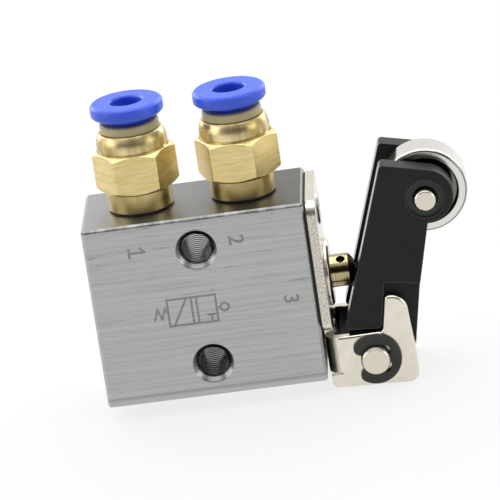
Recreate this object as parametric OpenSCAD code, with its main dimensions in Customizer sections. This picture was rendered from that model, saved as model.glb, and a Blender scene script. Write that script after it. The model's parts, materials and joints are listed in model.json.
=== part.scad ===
// Roller lever air valve: a three-port poppet valve with push-in tube fittings.
// X runs from the end plug to the roller, Y through the thickness, Z up to the fittings.
// The origin is midway between the two mounting holes, at mid thickness.

/* [Body] */
// Length of the valve block, end plug face to bracket face
body_w = 30; // [29:0.5:40]
// Thickness of the valve block
body_t = 16; // [15:0.5:24]
// Height of the valve block
body_h = 25.5; // [25:0.5:36]
// Chamfer on the edges of the block
body_chamfer = 0.35; // [0.1:0.05:0.8]
// Distance between the two mounting holes
mount_spacing = 16.3; // [15.6:0.1:18]
// Bore of the tapped mounting holes
mount_d = 4.2; // [3:0.1:4.6]
// Diameter of the countersink on each mounting hole
mount_sink_d = 5.6; // [4.8:0.1:6.2]

/* [Fittings] */
// Distance from the middle of the block to each fitting
port_offset = 6.95; // [6.6:0.05:8]
// Outer diameter of the threaded stub of a fitting
stub_d = 5; // [4:0.1:5.4]
// Length of the threaded stub
stub_len = 3.8; // [3:0.1:5]
// Diameter of the air passage through the stub
stub_bore_d = 2.4; // [1.6:0.1:3]
// Thickness of the sealing washer under a fitting
washer_t = 0.3; // [0.2:0.05:0.8]
// Diameter of the round foot of a fitting
foot_d = 8.85; // [8:0.05:9.4]
// Height of the round foot
foot_h = 2.5; // [1.5:0.05:4]
// Size of the hexagon across its flats
hex_af = 10; // [9.6:0.1:11]
// Diameter to which the hexagon corners are turned down
hex_turned_d = 11.3; // [10.4:0.05:11.5]
// Height of the hexagon
hex_h = 5.7; // [4:0.1:8]
// Slope of the cones turned on the hexagon, above and below
hex_slope = 30; // [15:1:45]
// Turn of the supply hexagon about its axis
supply_hex_turn = 3; // [-30:1:30]
// Turn of the outlet hexagon about its axis
outlet_hex_turn = -7; // [-30:1:30]
// Widest diameter of the round cap above the hexagon
cap_d = 9.6; // [9:0.05:10]
// Diameter of the cap at its top
cap_top_d = 8.5; // [8.3:0.05:9]
// Height of the round cap
cap_h = 2.55; // [2.2:0.05:4]
// Radius that rounds the side of the cap towards its top
cap_round = 2.9; // [1.5:0.1:3.5]
// Depth of the turned groove at the foot of the cap
cap_groove = 0.15; // [0.05:0.05:0.3]
// Outer diameter of the tube that pushes in
tube_d = 4; // [3.6:0.1:4.2]
// Depth of the tube socket below the top of the fitting
socket_depth = 9.2; // [8.5:0.1:9.6]
// Bore of the fitting that holds the grip and the seal
grip_bore_d = 7.4; // [7:0.05:7.5]

/* [Release collars] */
// Outer diameter of the retaining sleeve above the fitting
sleeve_d = 8; // [7.9:0.05:8.2]
// Height of the retaining sleeve above the fitting
sleeve_rise = 1.3; // [0.8:0.1:2.4]
// Outer diameter of the release collar
collar_d = 9.9; // [9.2:0.1:11.5]
// Thickness of the release collar
collar_t = 1.9; // [1.2:0.1:3]
// Gap under the collar, closed when it is pressed
collar_gap = 0.8; // [0.75:0.05:1.2]
// Outer diameter of the collar stem
collar_stem_d = 5.8; // [5.4:0.05:6]
// Width of the countersink at the mouth of the tube hole
collar_mouth = 0.25; // [0.1:0.05:0.4]

/* [Valve mechanism] */
// Bore of the supply chamber
supply_bore_d = 7.6; // [7.2:0.1:8.2]
// Bore of the outlet chamber
outlet_bore_d = 7; // [6.8:0.1:7.6]
// Thickness of the wall that carries the valve seat
seat_wall = 2; // [1.4:0.1:2.6]
// Bore of the valve seat
seat_bore_d = 4.4; // [4.2:0.1:4.8]
// Height of the seat lip
seat_lip = 0.5; // [0.3:0.05:0.8]
// Diameter of the end plug
plug_d = 9.4; // [9:0.1:10]
// Thickness of the end plug
plug_t = 2.6; // [2:0.1:3]
// Depth of the end plug below the face of the block
plug_inset = 0.2; // [0:0.05:0.6]
// Thickness of the rubber disc on the poppet
poppet_disc_t = 0.9; // [0.6:0.05:1.2]
// Thickness of the poppet head behind the disc
poppet_head_t = 1.9; // [1.4:0.1:2.4]
// Length of the poppet stem inside its spring
poppet_stem = 2.6; // [1.5:0.1:3]
// Wire diameter of both springs
wire_d = 0.5; // [0.3:0.05:0.6]
// Diameter of the plunger
plunger_d = 4.5; // [4.2:0.05:4.8]
// Radius of the domed plunger tip
tip_r = 3; // [2.6:0.1:4]
// Diameter of the plunger nose that meets the poppet
nose_d = 3.5; // [3.2:0.1:3.8]
// Gap between nose and poppet at rest, the exhaust passage
exhaust_gap = 0.8; // [0.78:0.01:1]
// Diameter of the exhaust passage in the plunger
vent_d = 1.6; // [1.2:0.1:2]
// Diameter of the exhaust hole across the plunger
cross_vent_d = 1.2; // [0.8:0.1:1.4]
// Lean of the cross hole from upright, towards the front
cross_vent_lean = 30; // [0:5:60]
// Diameter of the shoulder that stops the plunger
shoulder_d = 6; // [5.8:0.05:6.2]
// Thickness of that shoulder
shoulder_t = 1.3; // [0.8:0.1:1.6]
// Outer diameter of the guide bush
bush_d = 7.8; // [7.7:0.05:8.2]
// Length of the guide bush inside the block
bush_len = 6.2; // [5.5:0.1:6.4]
// Diameter of the bush flange on the bracket
flange_d = 9.2; // [8.8:0.1:10]
// Thickness of the bush flange
flange_t = 0.7; // [0.4:0.05:1]
// Thickness of the round seals on plunger and bush
seal_t = 1.1; // [0.8:0.05:1.3]

/* [Bracket] */
// Thickness of the bracket sheet
sheet_t = 1.25; // [1:0.05:1.6]
// Thickness of the gasket between the block and the bracket plate
gasket_t = 0.25; // [0.15:0.05:0.5]
// Inner radius of the bends
bend_r = 0.6; // [0.3:0.05:1]
// Radius of the corners of the bracket plate
plate_corner = 2; // [0.5:0.1:3]
// Step of the plate below the top face of the block
plate_drop = 0.15; // [0:0.05:1]
// Distance over the outer faces of the ears
ear_span = 13.8; // [13.4:0.1:14.4]
// Gap between the plate shoulder and the top of the bend
relief_h = 1.1; // [0.6:0.1:2]
// Distance from the pivot to the underside of the ears at the front
ear_below = 4.15; // [3.6:0.05:5]
// The same distance at the back
ear_below_back = 3.65; // [3.2:0.05:4]
// Distance from the pivot down to the foot of the bends
bend_foot = 1.5; // [1:0.05:1.8]
// Gap between the toe of an ear and the face of the block
toe_gap = 0.5; // [0.2:0.05:1]
// Distance from the pivot to the upper edge of the ears
ear_above = 3.55; // [3:0.05:3.6]
// Distance from the pivot to the outer edge of the ears
ear_ahead = 5.55; // [5.3:0.05:6.5]
// Distance from the pivot to the front edge of the fingers at their tops
finger_ahead = 5.05; // [4.8:0.05:5.3]
// Height of the stop finger above the pivot
finger_rise = 8.6; // [7:0.1:9]
// Radius of the front corner of the fingers
finger_round = 2.2; // [0.5:0.1:2.4]
// Radius of the lower front corner of the ears
ear_corner = 1.4; // [0.5:0.1:3]
// Distance of the bracket screws from the plunger axis
screw_offset = 9.2; // [8.6:0.05:9.6]
// Diameter of the bracket screws
screw_d = 2.5; // [2:0.1:3]
// Length of the bracket screws under the head
screw_len = 6; // [4:0.1:6.4]
// Diameter of the countersunk heads of the bracket screws
head_d = 4.6; // [4:0.1:5]
// Height of the heads above the bracket
head_h = 0.25; // [0.1:0.05:0.5]

/* [Lever] */
// Distance from the block to the pivot
pivot_reach = 6.76; // [6.6:0.02:8]
// Distance of the pivot below the plunger axis
pivot_drop = 10.75; // [10.4:0.05:12]
// Diameter of the pivot pin
pivot_d = 4; // [3.4:0.1:4.4]
// Height of the lever above the pivot
lever_h = 26.85; // [24:0.05:30]
// Lean of the back edge of the lever from upright
lever_lean = 18.65; // [17:0.05:20]
// Width of the lever over its two arms
lever_w = 12.8; // [12.6:0.1:13.2]
// Thickness of each arm
arm_t = 2.9; // [2.4:0.1:3]
// Reach of the lever heel behind the pivot
heel_back = 3.63; // [3.3:0.01:3.7]
// Height of the heel above the pivot
heel_rise = 4.35; // [4.35:0.05:5]
// Distance of the stop edge ahead of the pivot at its foot
stop_ahead = 1.3; // [1:0.05:1.6]
// Height of the foot of the stop edge above the pivot
stop_rise = 3.95; // [3.95:0.05:4.3]
// Lean of the stop edge from upright
stop_lean = 9.9; // [6:0.1:12]
// Height of the notch above the foot of the stop edge
notch_h = 6.45; // [6:0.05:8]
// Width of the notch over the finger
notch_w = 4.85; // [4.6:0.05:6]
// Fall of the notch towards the front
notch_fall = 0.8; // [0:0.05:1.2]
// Width of the lever hub between the ears
hub_w = 10.8; // [9:0.1:10.9]
// Thickness of the hub cheeks
cheek_t = 2.6; // [1.6:0.1:3]
// Radius of the hub barrel round the pivot
hub_r = 3.4; // [3:0.05:3.5]
// Thickness of the web that pushes the plunger
web_t = 1.6; // [1:0.1:1.8]
// Step of the web behind the back edges of the arms
web_inset = 0.5; // [0.3:0.05:0.8]
// Height of the web above the pivot
web_rise = 20.5; // [16:0.5:22]
// Radius of the corners of the arms
arm_corner = 0.6; // [0.2:0.05:1]

/* [Roller] */
// Distance of the roller axis ahead of the pivot
roller_ahead = 9.44; // [9:0.02:11]
// Depth of the roller axis below the top of the lever
roller_below_top = 5.55; // [5:0.05:6]
// Diameter of the roller
roller_d = 11.6; // [10:0.1:11.8]
// Width of the roller rim
roller_w = 5.4; // [4:0.1:6]
// Width of the roller hub between the arms
roller_hub_w = 6.6; // [6.2:0.05:6.8]
// Depth of the dished faces of the roller
roller_dish = 1.2; // [0.6:0.1:1.8]
// Thickness of the roller rim
rim_t = 1.3; // [0.8:0.1:2]
// Radius of the arm ends
arm_end_r = 3.68; // [3.5:0.02:4.2]
// Reach of the centre of the arm ends ahead of the roller axis
arm_end_ahead = 0.16; // [0:0.02:0.4]
// Rise of that centre above the roller axis
arm_end_rise = 0.45; // [0:0.05:0.7]
// Diameter of the roller pin
roller_pin_d = 3; // [2.4:0.1:3.4]
// Diameter of the shallow recess round the roller pin
pin_recess_d = 5.2; // [4.4:0.1:6]
// Depth of that recess
pin_recess = 0.45; // [0.2:0.05:0.8]
// Diameter of the eased mouth of the pin hole
pin_ease_d = 3.5; // [3.2:0.1:4]
// Depth of that mouth below the recess
pin_ease = 0.7; // [0.3:0.1:1]
// Length of the roller pin outside each arm
pin_proud = 0.75; // [0.1:0.05:1.2]

/* [Retaining clips] */
// Outer diameter of the clips on the pivot pin
clip_d = 7; // [6:0.1:7]
// Thickness of the clips
clip_t = 0.6; // [0.4:0.05:0.9]
// Diameter of the groove that holds a clip
groove_d = 3.2; // [2.6:0.1:3.2]
// Direction in which the mouth of the clips points
clip_turn = 188; // [0:1:359]
// Angle between the rounded ends of the clips
clip_open = 100; // [90:1:110]
// Length of the pin outside the clip
pin_end = 0.8; // [0.5:0.05:1.4]

/* [Clearances] */
// Radial clearance of parts that turn or slide
run_gap = 0.03; // [0.01:0.01:0.06]
// Gap between parts that are screwed or pressed together
seat_gap = 0.02; // [0.01:0.01:0.05]
// Gap between the lever and what it pushes or rests on
touch_gap = 0.05; // [0.03:0.01:0.1]

/* [Hidden] */
$fn = 96;
// Overshoot of cutting shapes past the faces they cut
cut = 1;
// Overlap of shapes that are joined into one solid
weld = 0.1;

// Faces of the block
face_x = body_w / 2;
top_z = body_h / 2;

// Valve bore, from the plug at the back to the bush at the front
plug_back_x = -face_x + plug_inset;
plug_front_x = plug_back_x + plug_t;
plug_seal_t = 0.9;
supply_back_x = plug_front_x + plug_seal_t + 2 * seat_gap;
seat_back_x = -seat_wall / 2;
seat_front_x = seat_wall / 2;
lip_x = seat_back_x - seat_lip;
lip_land = 0.5;
bush_back_x = face_x - bush_len;
plate_x = face_x + gasket_t;
bracket_x = plate_x + sheet_t;
flange_x = bracket_x + flange_t;
stub_room = 0.4;
port_depth = stub_len + stub_room;

// Poppet and its spring
disc_x = lip_x - seat_gap;
head_x = disc_x - poppet_disc_t - seat_gap;
poppet_back_x = head_x - poppet_head_t;
poppet_play = 0.3;
poppet_d = supply_bore_d - poppet_play;
poppet_flute_d = 3;
pocket_d = 1.4;
spring_turns = 5;
poppet_spring_d = 4.6;
spring_play = 0.5;
stem_d = poppet_spring_d - wire_d - spring_play;
disc_margin = 0.3;
disc_d = seat_bore_d + 2 * (lip_land + disc_margin);

// Lever outline, measured from the pivot
pivot = [face_x + pivot_reach, -pivot_drop];
heel = [-heel_back, heel_rise];
lever_top = [-heel_back + (lever_h - heel_rise) * tan(lever_lean), lever_h];
stop_foot = [stop_ahead, stop_rise];
notch_back = stop_foot + [notch_h * tan(stop_lean), notch_h];
notch_front = notch_back + [notch_w, -notch_fall];
roller_at = [roller_ahead, lever_h - roller_below_top];
arm_end_at = roller_at + [arm_end_ahead, arm_end_rise];
edge_dir = [sin(lever_lean), cos(lever_lean)];
edge_in = [cos(lever_lean), -sin(lever_lean)];
arm_y = lever_w / 2;
arm_gap = lever_w - 2 * arm_t;
roller_clear = 0.7;
notch_under = 3;

// Domed tip: its centre lies one tip radius from the web, on the plunger axis
web_face = heel + web_inset * edge_in;
tip_centre_x = pivot[0] + (edge_in * web_face - tip_r - touch_gap
    + pivot_drop * sin(lever_lean)) / cos(lever_lean);
tip_x = tip_centre_x + tip_r;
tip_cap = tip_r - sqrt(tip_r * tip_r - plunger_d * plunger_d / 4);
shoulder_x = bush_back_x - touch_gap - shoulder_t;
nose_x = disc_x + exhaust_gap;
vent_wall = 0.25;
vent_end_x = tip_x - tip_cap - vent_wall;
cross_vent_x = vent_end_x - (vent_wall + cross_vent_d) / 2;
plunger_spring_d = 5;

// Round seals on the plunger and on the bush
plunger_seal_x = bush_back_x + bush_len / 2;
plunger_seal_depth = 0.8;
bush_seal_inset = 1.5;
bush_seal_x = bush_back_x + bush_seal_inset;
bush_seal_depth = 0.7;

// Bracket: the ears stand inside the edges of the plate
ear_y = ear_span / 2;
bend_outer = bend_r + sheet_t;
shelf_z = pivot[1] + ear_above;
plate_foot_z = shelf_z + relief_h;
plate_top_z = top_z - plate_drop;
neck_y = ear_y - bend_outer;
bend_end_x = plate_x + seat_gap + bend_outer;
bend_foot_z = pivot[1] - bend_foot;
toe_x = face_x + toe_gap;
toe_slit = 0.25;
gasket_inset = 0.15;
toe_corner = 0.8;
finger_tip = 0.2;
finger_root = 0.6;
finger_stop = 0.1;
screw_sink = (head_d - screw_d) / 2;
screw_sink_x = bracket_x - screw_sink;

// Fittings, heights above the top of the block
foot_base = washer_t;
hex_base = foot_base + foot_h;
hex_top = hex_base + hex_h;
cap_top = hex_top + cap_h;
hex_corner_d = hex_af / cos(30);
sleeve_top = cap_top + sleeve_rise;
collar_base = sleeve_top + collar_gap;
collar_top = collar_base + collar_t;
socket_base = cap_top - socket_depth;
tube_slip = 0.3;
tube_hole_d = tube_d + tube_slip;
tube_seat_h = 2.2;
tube_seal_base = socket_base + tube_seat_h;
tube_seal_t = 1.5;
grip_ring_base = tube_seal_base + tube_seal_t + seat_gap;
grip_ring_t = 0.4;
barb_room = 1.5;
sleeve_base = grip_ring_base + grip_ring_t + barb_room;
sleeve_lip = 0.9;
release_room = 0.75;
stem_base = grip_ring_base + grip_ring_t + release_room;
stem_barb_h = 0.5;
barb_d = collar_stem_d + 0.6;
barb_well_d = barb_d + 0.3;
grip_teeth = 8;
grip_slit = 0.4;
grip_inner_d = tube_hole_d + 0.1;
washer_d = foot_d - 0.2;
sleeve_edge = 0.2;

// Clips on the pivot pin
groove_slack = 0.05;
clip_y = ear_y + groove_slack;
clip_inner_d = groove_d + 2 * seat_gap;
clip_mid_r = (clip_d + clip_inner_d) / 4;
clip_ring = (clip_d - clip_inner_d) / 2;
clip_pocket_d = 1.7;
clip_pocket_r = 1.6;
clip_pocket_turn = 42;

function unit(v) = v / norm(v);
function point_at(p) = [pivot[0] + p[0], pivot[1] + p[1]];
// Point where a line from p touches a circle on its upper side
function tangent_point(p, c, r) = let (d = c - p, turn = acos(r / norm(d)), back = atan2(-d[1], -d[0]))
    c + r * [cos(back - turn), sin(back - turn)];
// Arc that rounds the corner b between its neighbours a and c
function corner_arc(a, b, c, r, steps = 8) = r == 0 ? [b] : let (
    u = unit(a - b), v = unit(c - b), half = acos(u * v) / 2,
    centre = b + unit(u + v) * r / sin(half),
    from = b + u * r / tan(half) - centre, to = b + v * r / tan(half) - centre,
    start = atan2(from[1], from[0]), full = atan2(to[1], to[0]) - start,
    sweep = full > 180 ? full - 360 : full < -180 ? full + 360 : full)
    [for (i = [0 : steps]) centre + r * [cos(start + sweep * i / steps), sin(start + sweep * i / steps)]];
// Outline with each corner given as [x, y, radius]
function rounded(corners) = let (n = len(corners))
    [for (i = [0 : n - 1])
        let (a = corners[(i + n - 1) % n], b = corners[i], c = corners[(i + 1) % n])
        each corner_arc([a[0], a[1]], [b[0], b[1]], [c[0], c[1]], b[2])];

// Solid of revolution about Z from [radius, height] points
module turned(points) {
    rotate_extrude() polygon(points);
}

// Solid of revolution about the plunger axis from [radius, x] points
module turned_x(points) {
    rotate([0, 90, 0]) turned(points);
}

// Drill along X between two places
module drill_x(d, from, to) {
    translate([from, 0, 0]) rotate([0, 90, 0]) cylinder(d = d, h = to - from);
}

// Side outline in X and Z, made solid across Y
module across(from, to) {
    translate([0, to, 0]) rotate([90, 0, 0]) linear_extrude(to - from) children();
}

// The same piece on both sides of the middle plane
module both_sides() {
    children();
    mirror([0, 1, 0]) children();
}

module chamfered_square(w, h, c) {
    polygon([[-w / 2 + c, -h / 2], [w / 2 - c, -h / 2], [w / 2, -h / 2 + c], [w / 2, h / 2 - c],
        [w / 2 - c, h / 2], [-w / 2 + c, h / 2], [-w / 2, h / 2 - c], [-w / 2, -h / 2 + c]]);
}

// Round wire coil that stands on Z = 0
module coil(mean_d, length, turns) {
    sides = 8;
    per_turn = 18;
    steps = turns * per_turn;
    points = [for (i = [0 : steps], j = [0 : sides - 1])
        let (a = 360 * i / per_turn, b = 360 * j / sides, r = (mean_d + wire_d * cos(b)) / 2)
        [r * cos(a), r * sin(a), (wire_d + wire_d * sin(b)) / 2 + (length - wire_d) * i / steps]];
    skin = [for (i = [0 : steps - 1], j = [0 : sides - 1]) let (k = (j + 1) % sides)
        [i * sides + j, i * sides + k, (i + 1) * sides + k, (i + 1) * sides + j]];
    first = [for (j = [0 : sides - 1]) sides - 1 - j];
    last = [for (j = [0 : sides - 1]) steps * sides + j];
    polyhedron(points, concat(skin, [first, last]));
}

module block() {
    intersection() {
        linear_extrude(body_h, center = true) chamfered_square(body_w, body_t, body_chamfer);
        across(-body_t, body_t) chamfered_square(body_w, body_h, body_chamfer);
        rotate([90, 0, 90]) linear_extrude(body_w, center = true)
            chamfered_square(body_t, body_h, body_chamfer);
    }
}

module mount_hole() {
    sink = (mount_sink_d - mount_d) / 2;
    rotate([90, 0, 0]) {
        cylinder(d = mount_d, h = body_t + 2 * cut, center = true);
        for (side = [0, 180])
            rotate([side, 0, 0]) translate([0, 0, body_t / 2 - sink])
                cylinder(d1 = mount_d, d2 = mount_d + 2 * (sink + cut), h = sink + cut);
    }
}

module port_hole() {
    translate([0, 0, top_z - port_depth]) cylinder(d = stub_d + 2 * seat_gap, h = port_depth + cut);
    cylinder(d = stub_bore_d, h = top_z);
}

module valve_body() color("#a9abae") difference() {
    block();
    for (side = [-1, 1]) {
        translate([0, 0, side * mount_spacing / 2]) mount_hole();
        translate([side * port_offset, 0, 0]) port_hole();
        translate([0, 0, side * screw_offset])
            drill_x(screw_d + 2 * seat_gap, bracket_x - screw_len - 2 * seat_gap, face_x + cut);
    }
    drill_x(plug_d + 2 * seat_gap, -face_x - cut, supply_back_x);
    difference() {
        drill_x(supply_bore_d, supply_back_x - weld, seat_back_x);
        turned_x([[seat_bore_d / 2, seat_back_x + weld], [seat_bore_d / 2, lip_x],
            [seat_bore_d / 2 + lip_land, lip_x],
            [seat_bore_d / 2 + lip_land + seat_lip, seat_back_x + weld]]);
    }
    drill_x(seat_bore_d, lip_x - weld, seat_front_x + weld);
    drill_x(outlet_bore_d, seat_front_x, bush_back_x);
    drill_x(bush_d + 2 * seat_gap, bush_back_x - seat_gap, face_x + cut);
}

module end_plug() color("#c9b06a") difference() {
    slot_w = 1.2;
    slot_depth = 1.1;
    nub_h = 1.6;
    turned_x([[0, plug_back_x], [plug_d / 2 - body_chamfer, plug_back_x],
        [plug_d / 2, plug_back_x + body_chamfer], [plug_d / 2, plug_front_x], [stem_d / 2, plug_front_x],
        [stem_d / 2, plug_front_x + nub_h], [0, plug_front_x + nub_h]]);
    translate([plug_back_x - cut, -plug_d, -slot_w / 2]) cube([slot_depth + cut, 2 * plug_d, slot_w]);
}

module end_plug_seal() color("#222222") turned_x([
    [poppet_spring_d / 2 + wire_d, plug_front_x + seat_gap], [plug_d / 2 - seat_gap, plug_front_x + seat_gap],
    [plug_d / 2 - seat_gap, plug_front_x + seat_gap + plug_seal_t],
    [poppet_spring_d / 2 + wire_d, plug_front_x + seat_gap + plug_seal_t]]);

module poppet_spring() color("#b8b8b8")
    translate([plug_front_x + seat_gap, 0, 0]) rotate([0, 90, 0])
        coil(poppet_spring_d, poppet_back_x - plug_front_x - 2 * seat_gap, spring_turns);

module poppet() color("#c9a64a") difference() {
    turned_x([[0, poppet_back_x - poppet_stem], [stem_d / 2, poppet_back_x - poppet_stem],
        [stem_d / 2, poppet_back_x], [poppet_d / 2, poppet_back_x], [poppet_d / 2, head_x], [0, head_x]]);
    for (turn = [60 : 120 : 300])
        rotate([turn, 0, 0]) translate([0, 0, poppet_d / 2])
            drill_x(poppet_flute_d, poppet_back_x - cut, head_x + cut);
    drill_x(pocket_d, head_x - poppet_head_t / 2, head_x + cut);
}

module poppet_disc() color("#1f1f1f") union() {
    drill_x(disc_d, head_x + seat_gap, disc_x);
    drill_x(pocket_d - 2 * seat_gap, head_x - poppet_head_t / 2 + seat_gap, disc_x - weld);
}

module plunger() color("#c8a24a") difference() {
    dome_steps = 10;
    dome_edge = asin(plunger_d / 2 / tip_r);
    dome = [for (i = [0 : dome_steps]) let (a = dome_edge * (1 - i / dome_steps))
        [tip_r * sin(a), tip_centre_x + tip_r * cos(a)]];
    turned_x(concat([[0, nose_x], [nose_d / 2, nose_x], [nose_d / 2, shoulder_x],
        [shoulder_d / 2, shoulder_x], [shoulder_d / 2, shoulder_x + shoulder_t],
        [plunger_d / 2, shoulder_x + shoulder_t]], dome));
    drill_x(vent_d, nose_x - cut, vent_end_x);
    rotate([cross_vent_lean, 0, 0]) translate([cross_vent_x, 0, 0])
        cylinder(d = cross_vent_d, h = 2 * plunger_d, center = true);
}

module plunger_spring() color("#b8b8b8")
    translate([seat_front_x + seat_gap, 0, 0]) rotate([0, 90, 0])
        coil(plunger_spring_d, shoulder_x - seat_front_x - 2 * seat_gap, spring_turns);

module guide_bush() color("#b9974a") difference() {
    lead_in = 0.3;
    turned_x([[plunger_d / 2 + run_gap, bush_back_x], [bush_d / 2 - lead_in, bush_back_x],
        [bush_d / 2, bush_back_x + lead_in], [bush_d / 2, bracket_x + seat_gap],
        [flange_d / 2, bracket_x + seat_gap], [flange_d / 2, flange_x - lead_in],
        [flange_d / 2 - lead_in, flange_x], [plunger_d / 2 + run_gap, flange_x]]);
    turned_x([[0, plunger_seal_x], [plunger_d / 2 + plunger_seal_depth, plunger_seal_x],
        [plunger_d / 2 + plunger_seal_depth, plunger_seal_x + seal_t + 2 * seat_gap],
        [0, plunger_seal_x + seal_t + 2 * seat_gap]]);
    turned_x([[bush_d / 2 - bush_seal_depth, bush_seal_x], [bush_d, bush_seal_x],
        [bush_d, bush_seal_x + seal_t + 2 * seat_gap],
        [bush_d / 2 - bush_seal_depth, bush_seal_x + seal_t + 2 * seat_gap]]);
}

module plunger_seal() color("#222222") turned_x([
    [plunger_d / 2 + run_gap, plunger_seal_x + seat_gap],
    [plunger_d / 2 + plunger_seal_depth - seat_gap, plunger_seal_x + seat_gap],
    [plunger_d / 2 + plunger_seal_depth - seat_gap, plunger_seal_x + seat_gap + seal_t],
    [plunger_d / 2 + run_gap, plunger_seal_x + seat_gap + seal_t]]);

module bush_seal() color("#222222") turned_x([
    [bush_d / 2 - bush_seal_depth + seat_gap, bush_seal_x + seat_gap],
    [bush_d / 2, bush_seal_x + seat_gap],
    [bush_d / 2, bush_seal_x + seat_gap + seal_t],
    [bush_d / 2 - bush_seal_depth + seat_gap, bush_seal_x + seat_gap + seal_t]]);

// Plan of the strip against the block and of the two bends beside it
module folded_plan() {
    reach = bend_outer + weld;
    difference() {
        translate([plate_x + seat_gap, -ear_y]) square([reach, 2 * ear_y]);
        translate([bracket_x, -ear_y + sheet_t]) square([reach + cut, 2 * (ear_y - sheet_t)]);
        for (side = [-1, 1]) scale([1, side]) translate([plate_x + seat_gap, -ear_y]) difference() {
            translate([-cut, -cut]) square(bend_outer + cut);
            translate([bend_outer, bend_outer]) circle(bend_outer);
        }
    }
    for (side = [-1, 1]) scale([1, side]) translate([bracket_x, -ear_y + sheet_t]) difference() {
        translate([-weld, -weld]) square(bend_r + weld);
        translate([bend_r, bend_r]) circle(bend_r);
    }
}

// Side of one ear with its stop finger, and the toe that a slit parts from the bend
module ear_outline() {
    finger_foot = [stop_ahead + finger_stop + (ear_above - stop_rise) * tan(stop_lean), ear_above];
    finger_top = finger_foot + (finger_rise - ear_above) * [tan(stop_lean), 1];
    toe = toe_x - pivot[0];
    bend_end = bend_end_x - pivot[0];
    polygon([for (p = rounded([[bend_end, ear_above, 0], [bend_end, -bend_foot - toe_slit, 0],
        [toe, -bend_foot - toe_slit, 0], [toe, -ear_below_back, toe_corner],
        [ear_ahead, -ear_below, ear_corner], [ear_ahead, 0, finger_round],
        [finger_ahead, finger_rise, finger_round], [finger_top[0], finger_top[1], finger_tip],
        [finger_foot[0], finger_foot[1], finger_root]])) point_at(p)]);
}

// Face of the plate above the ears, drawn in Y and Z, or a smaller one inside its edges
module plate_face(inset = 0) {
    y = body_t / 2 - inset;
    foot = plate_foot_z + inset;
    head = plate_top_z - inset;
    corner = plate_corner - inset;
    polygon(rounded([[-y, foot, corner], [y, foot, corner], [y, head, corner], [-y, head, corner]]));
}

// Places an outline drawn in Y and Z between two values of X
module on_face(from, to) {
    translate([from, 0, 0]) rotate([90, 0, 90]) linear_extrude(to - from) children();
}

module bracket_gasket() color("#1a1a1a") difference() {
    on_face(face_x + seat_gap, plate_x) plate_face(gasket_inset);
    drill_x(bush_d + 2 * seat_gap, face_x - cut, bracket_x);
    for (side = [-1, 1]) translate([0, 0, side * screw_offset])
        drill_x(screw_d + 2 * seat_gap, face_x - cut, bracket_x);
}

module bracket() color("#c9c9c6") difference() {
    union() {
        both_sides() across(ear_y - sheet_t, ear_y) ear_outline();
        translate([0, 0, bend_foot_z]) linear_extrude(shelf_z - bend_foot_z) folded_plan();
        on_face(plate_x + seat_gap, bracket_x) {
            plate_face();
            translate([-neck_y, shelf_z - cut]) square([2 * neck_y, plate_foot_z - shelf_z + 2 * cut]);
        }
    }
    drill_x(bush_d + 2 * seat_gap, face_x - cut, bracket_x + cut);
    for (side = [-1, 1]) translate([0, 0, side * screw_offset]) {
        drill_x(screw_d + 2 * seat_gap, face_x - cut, bracket_x + cut);
        turned_x([[0, screw_sink_x], [screw_d / 2 + 2 * seat_gap, screw_sink_x],
            [head_d / 2 + 2 * seat_gap + cut, bracket_x + cut], [0, bracket_x + cut]]);
    }
    translate([pivot[0], 0, pivot[1]]) rotate([90, 0, 0])
        cylinder(d = pivot_d + 2 * seat_gap, h = body_t, center = true);
}

module bracket_screws() color("#8f9194") for (side = [-1, 1]) translate([0, 0, side * screw_offset])
    difference() {
        tip = 0.4;
        slot_w = 0.6;
        slot_depth = 0.6;
        turned_x([[0, bracket_x - screw_len], [screw_d / 2 - tip, bracket_x - screw_len],
            [screw_d / 2, bracket_x - screw_len + tip], [screw_d / 2, screw_sink_x],
            [head_d / 2, bracket_x], [head_d / 2 - head_h, bracket_x + head_h], [0, bracket_x + head_h]]);
        for (turn = [0, 90]) rotate([turn, 0, 0])
            translate([bracket_x + head_h - slot_depth, -head_d / 4, -slot_w / 2])
                cube([head_h + slot_depth, head_d / 2, slot_w]);
    }

// Side of one arm, with its round end above the roller pin
module arm_outline() {
    touch = tangent_point(lever_top, arm_end_at, arm_end_r);
    under = arm_end_at - arm_end_r * [sin(notch_under), cos(notch_under)];
    polygon([for (p = rounded([[heel[0], heel[1], arm_corner], [lever_top[0], lever_top[1], arm_corner],
        [touch[0], touch[1], 0], [arm_end_at[0], arm_end_at[1], 0], [under[0], under[1], 0],
        [notch_front[0], notch_front[1], arm_corner / 2], [notch_back[0], notch_back[1], arm_corner / 2],
        [stop_foot[0], stop_foot[1], arm_corner]])) point_at(p)]);
    translate(point_at(arm_end_at)) circle(arm_end_r);
}

// Side of the hub cheeks that run down between the ears
module cheek_outline() {
    front = [ear_ahead + finger_stop, hub_r / 3];
    low = hub_r * [cos(-45), sin(-45)];
    web_up = web_face + (notch_h - cut) * edge_dir;
    polygon([for (p = rounded([[web_face[0], web_face[1], 0], [web_up[0], web_up[1], 0],
        [notch_front[0], notch_front[1] + cut, 0], [notch_front[0], notch_front[1], 0],
        [front[0], front[1], hub_r / 2], [low[0], low[1], 0], [0, 0, 0], [-hub_r, 0, 0]])) point_at(p)]);
    translate(pivot) circle(hub_r);
}

// Side of the web along the back edges of the arms
module web_outline() {
    head = web_face + (web_rise - heel_rise) / cos(lever_lean) * edge_dir;
    polygon([for (p = [web_face, head, head + web_t * edge_in, web_face + web_t * edge_in]) point_at(p)]);
}

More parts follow.
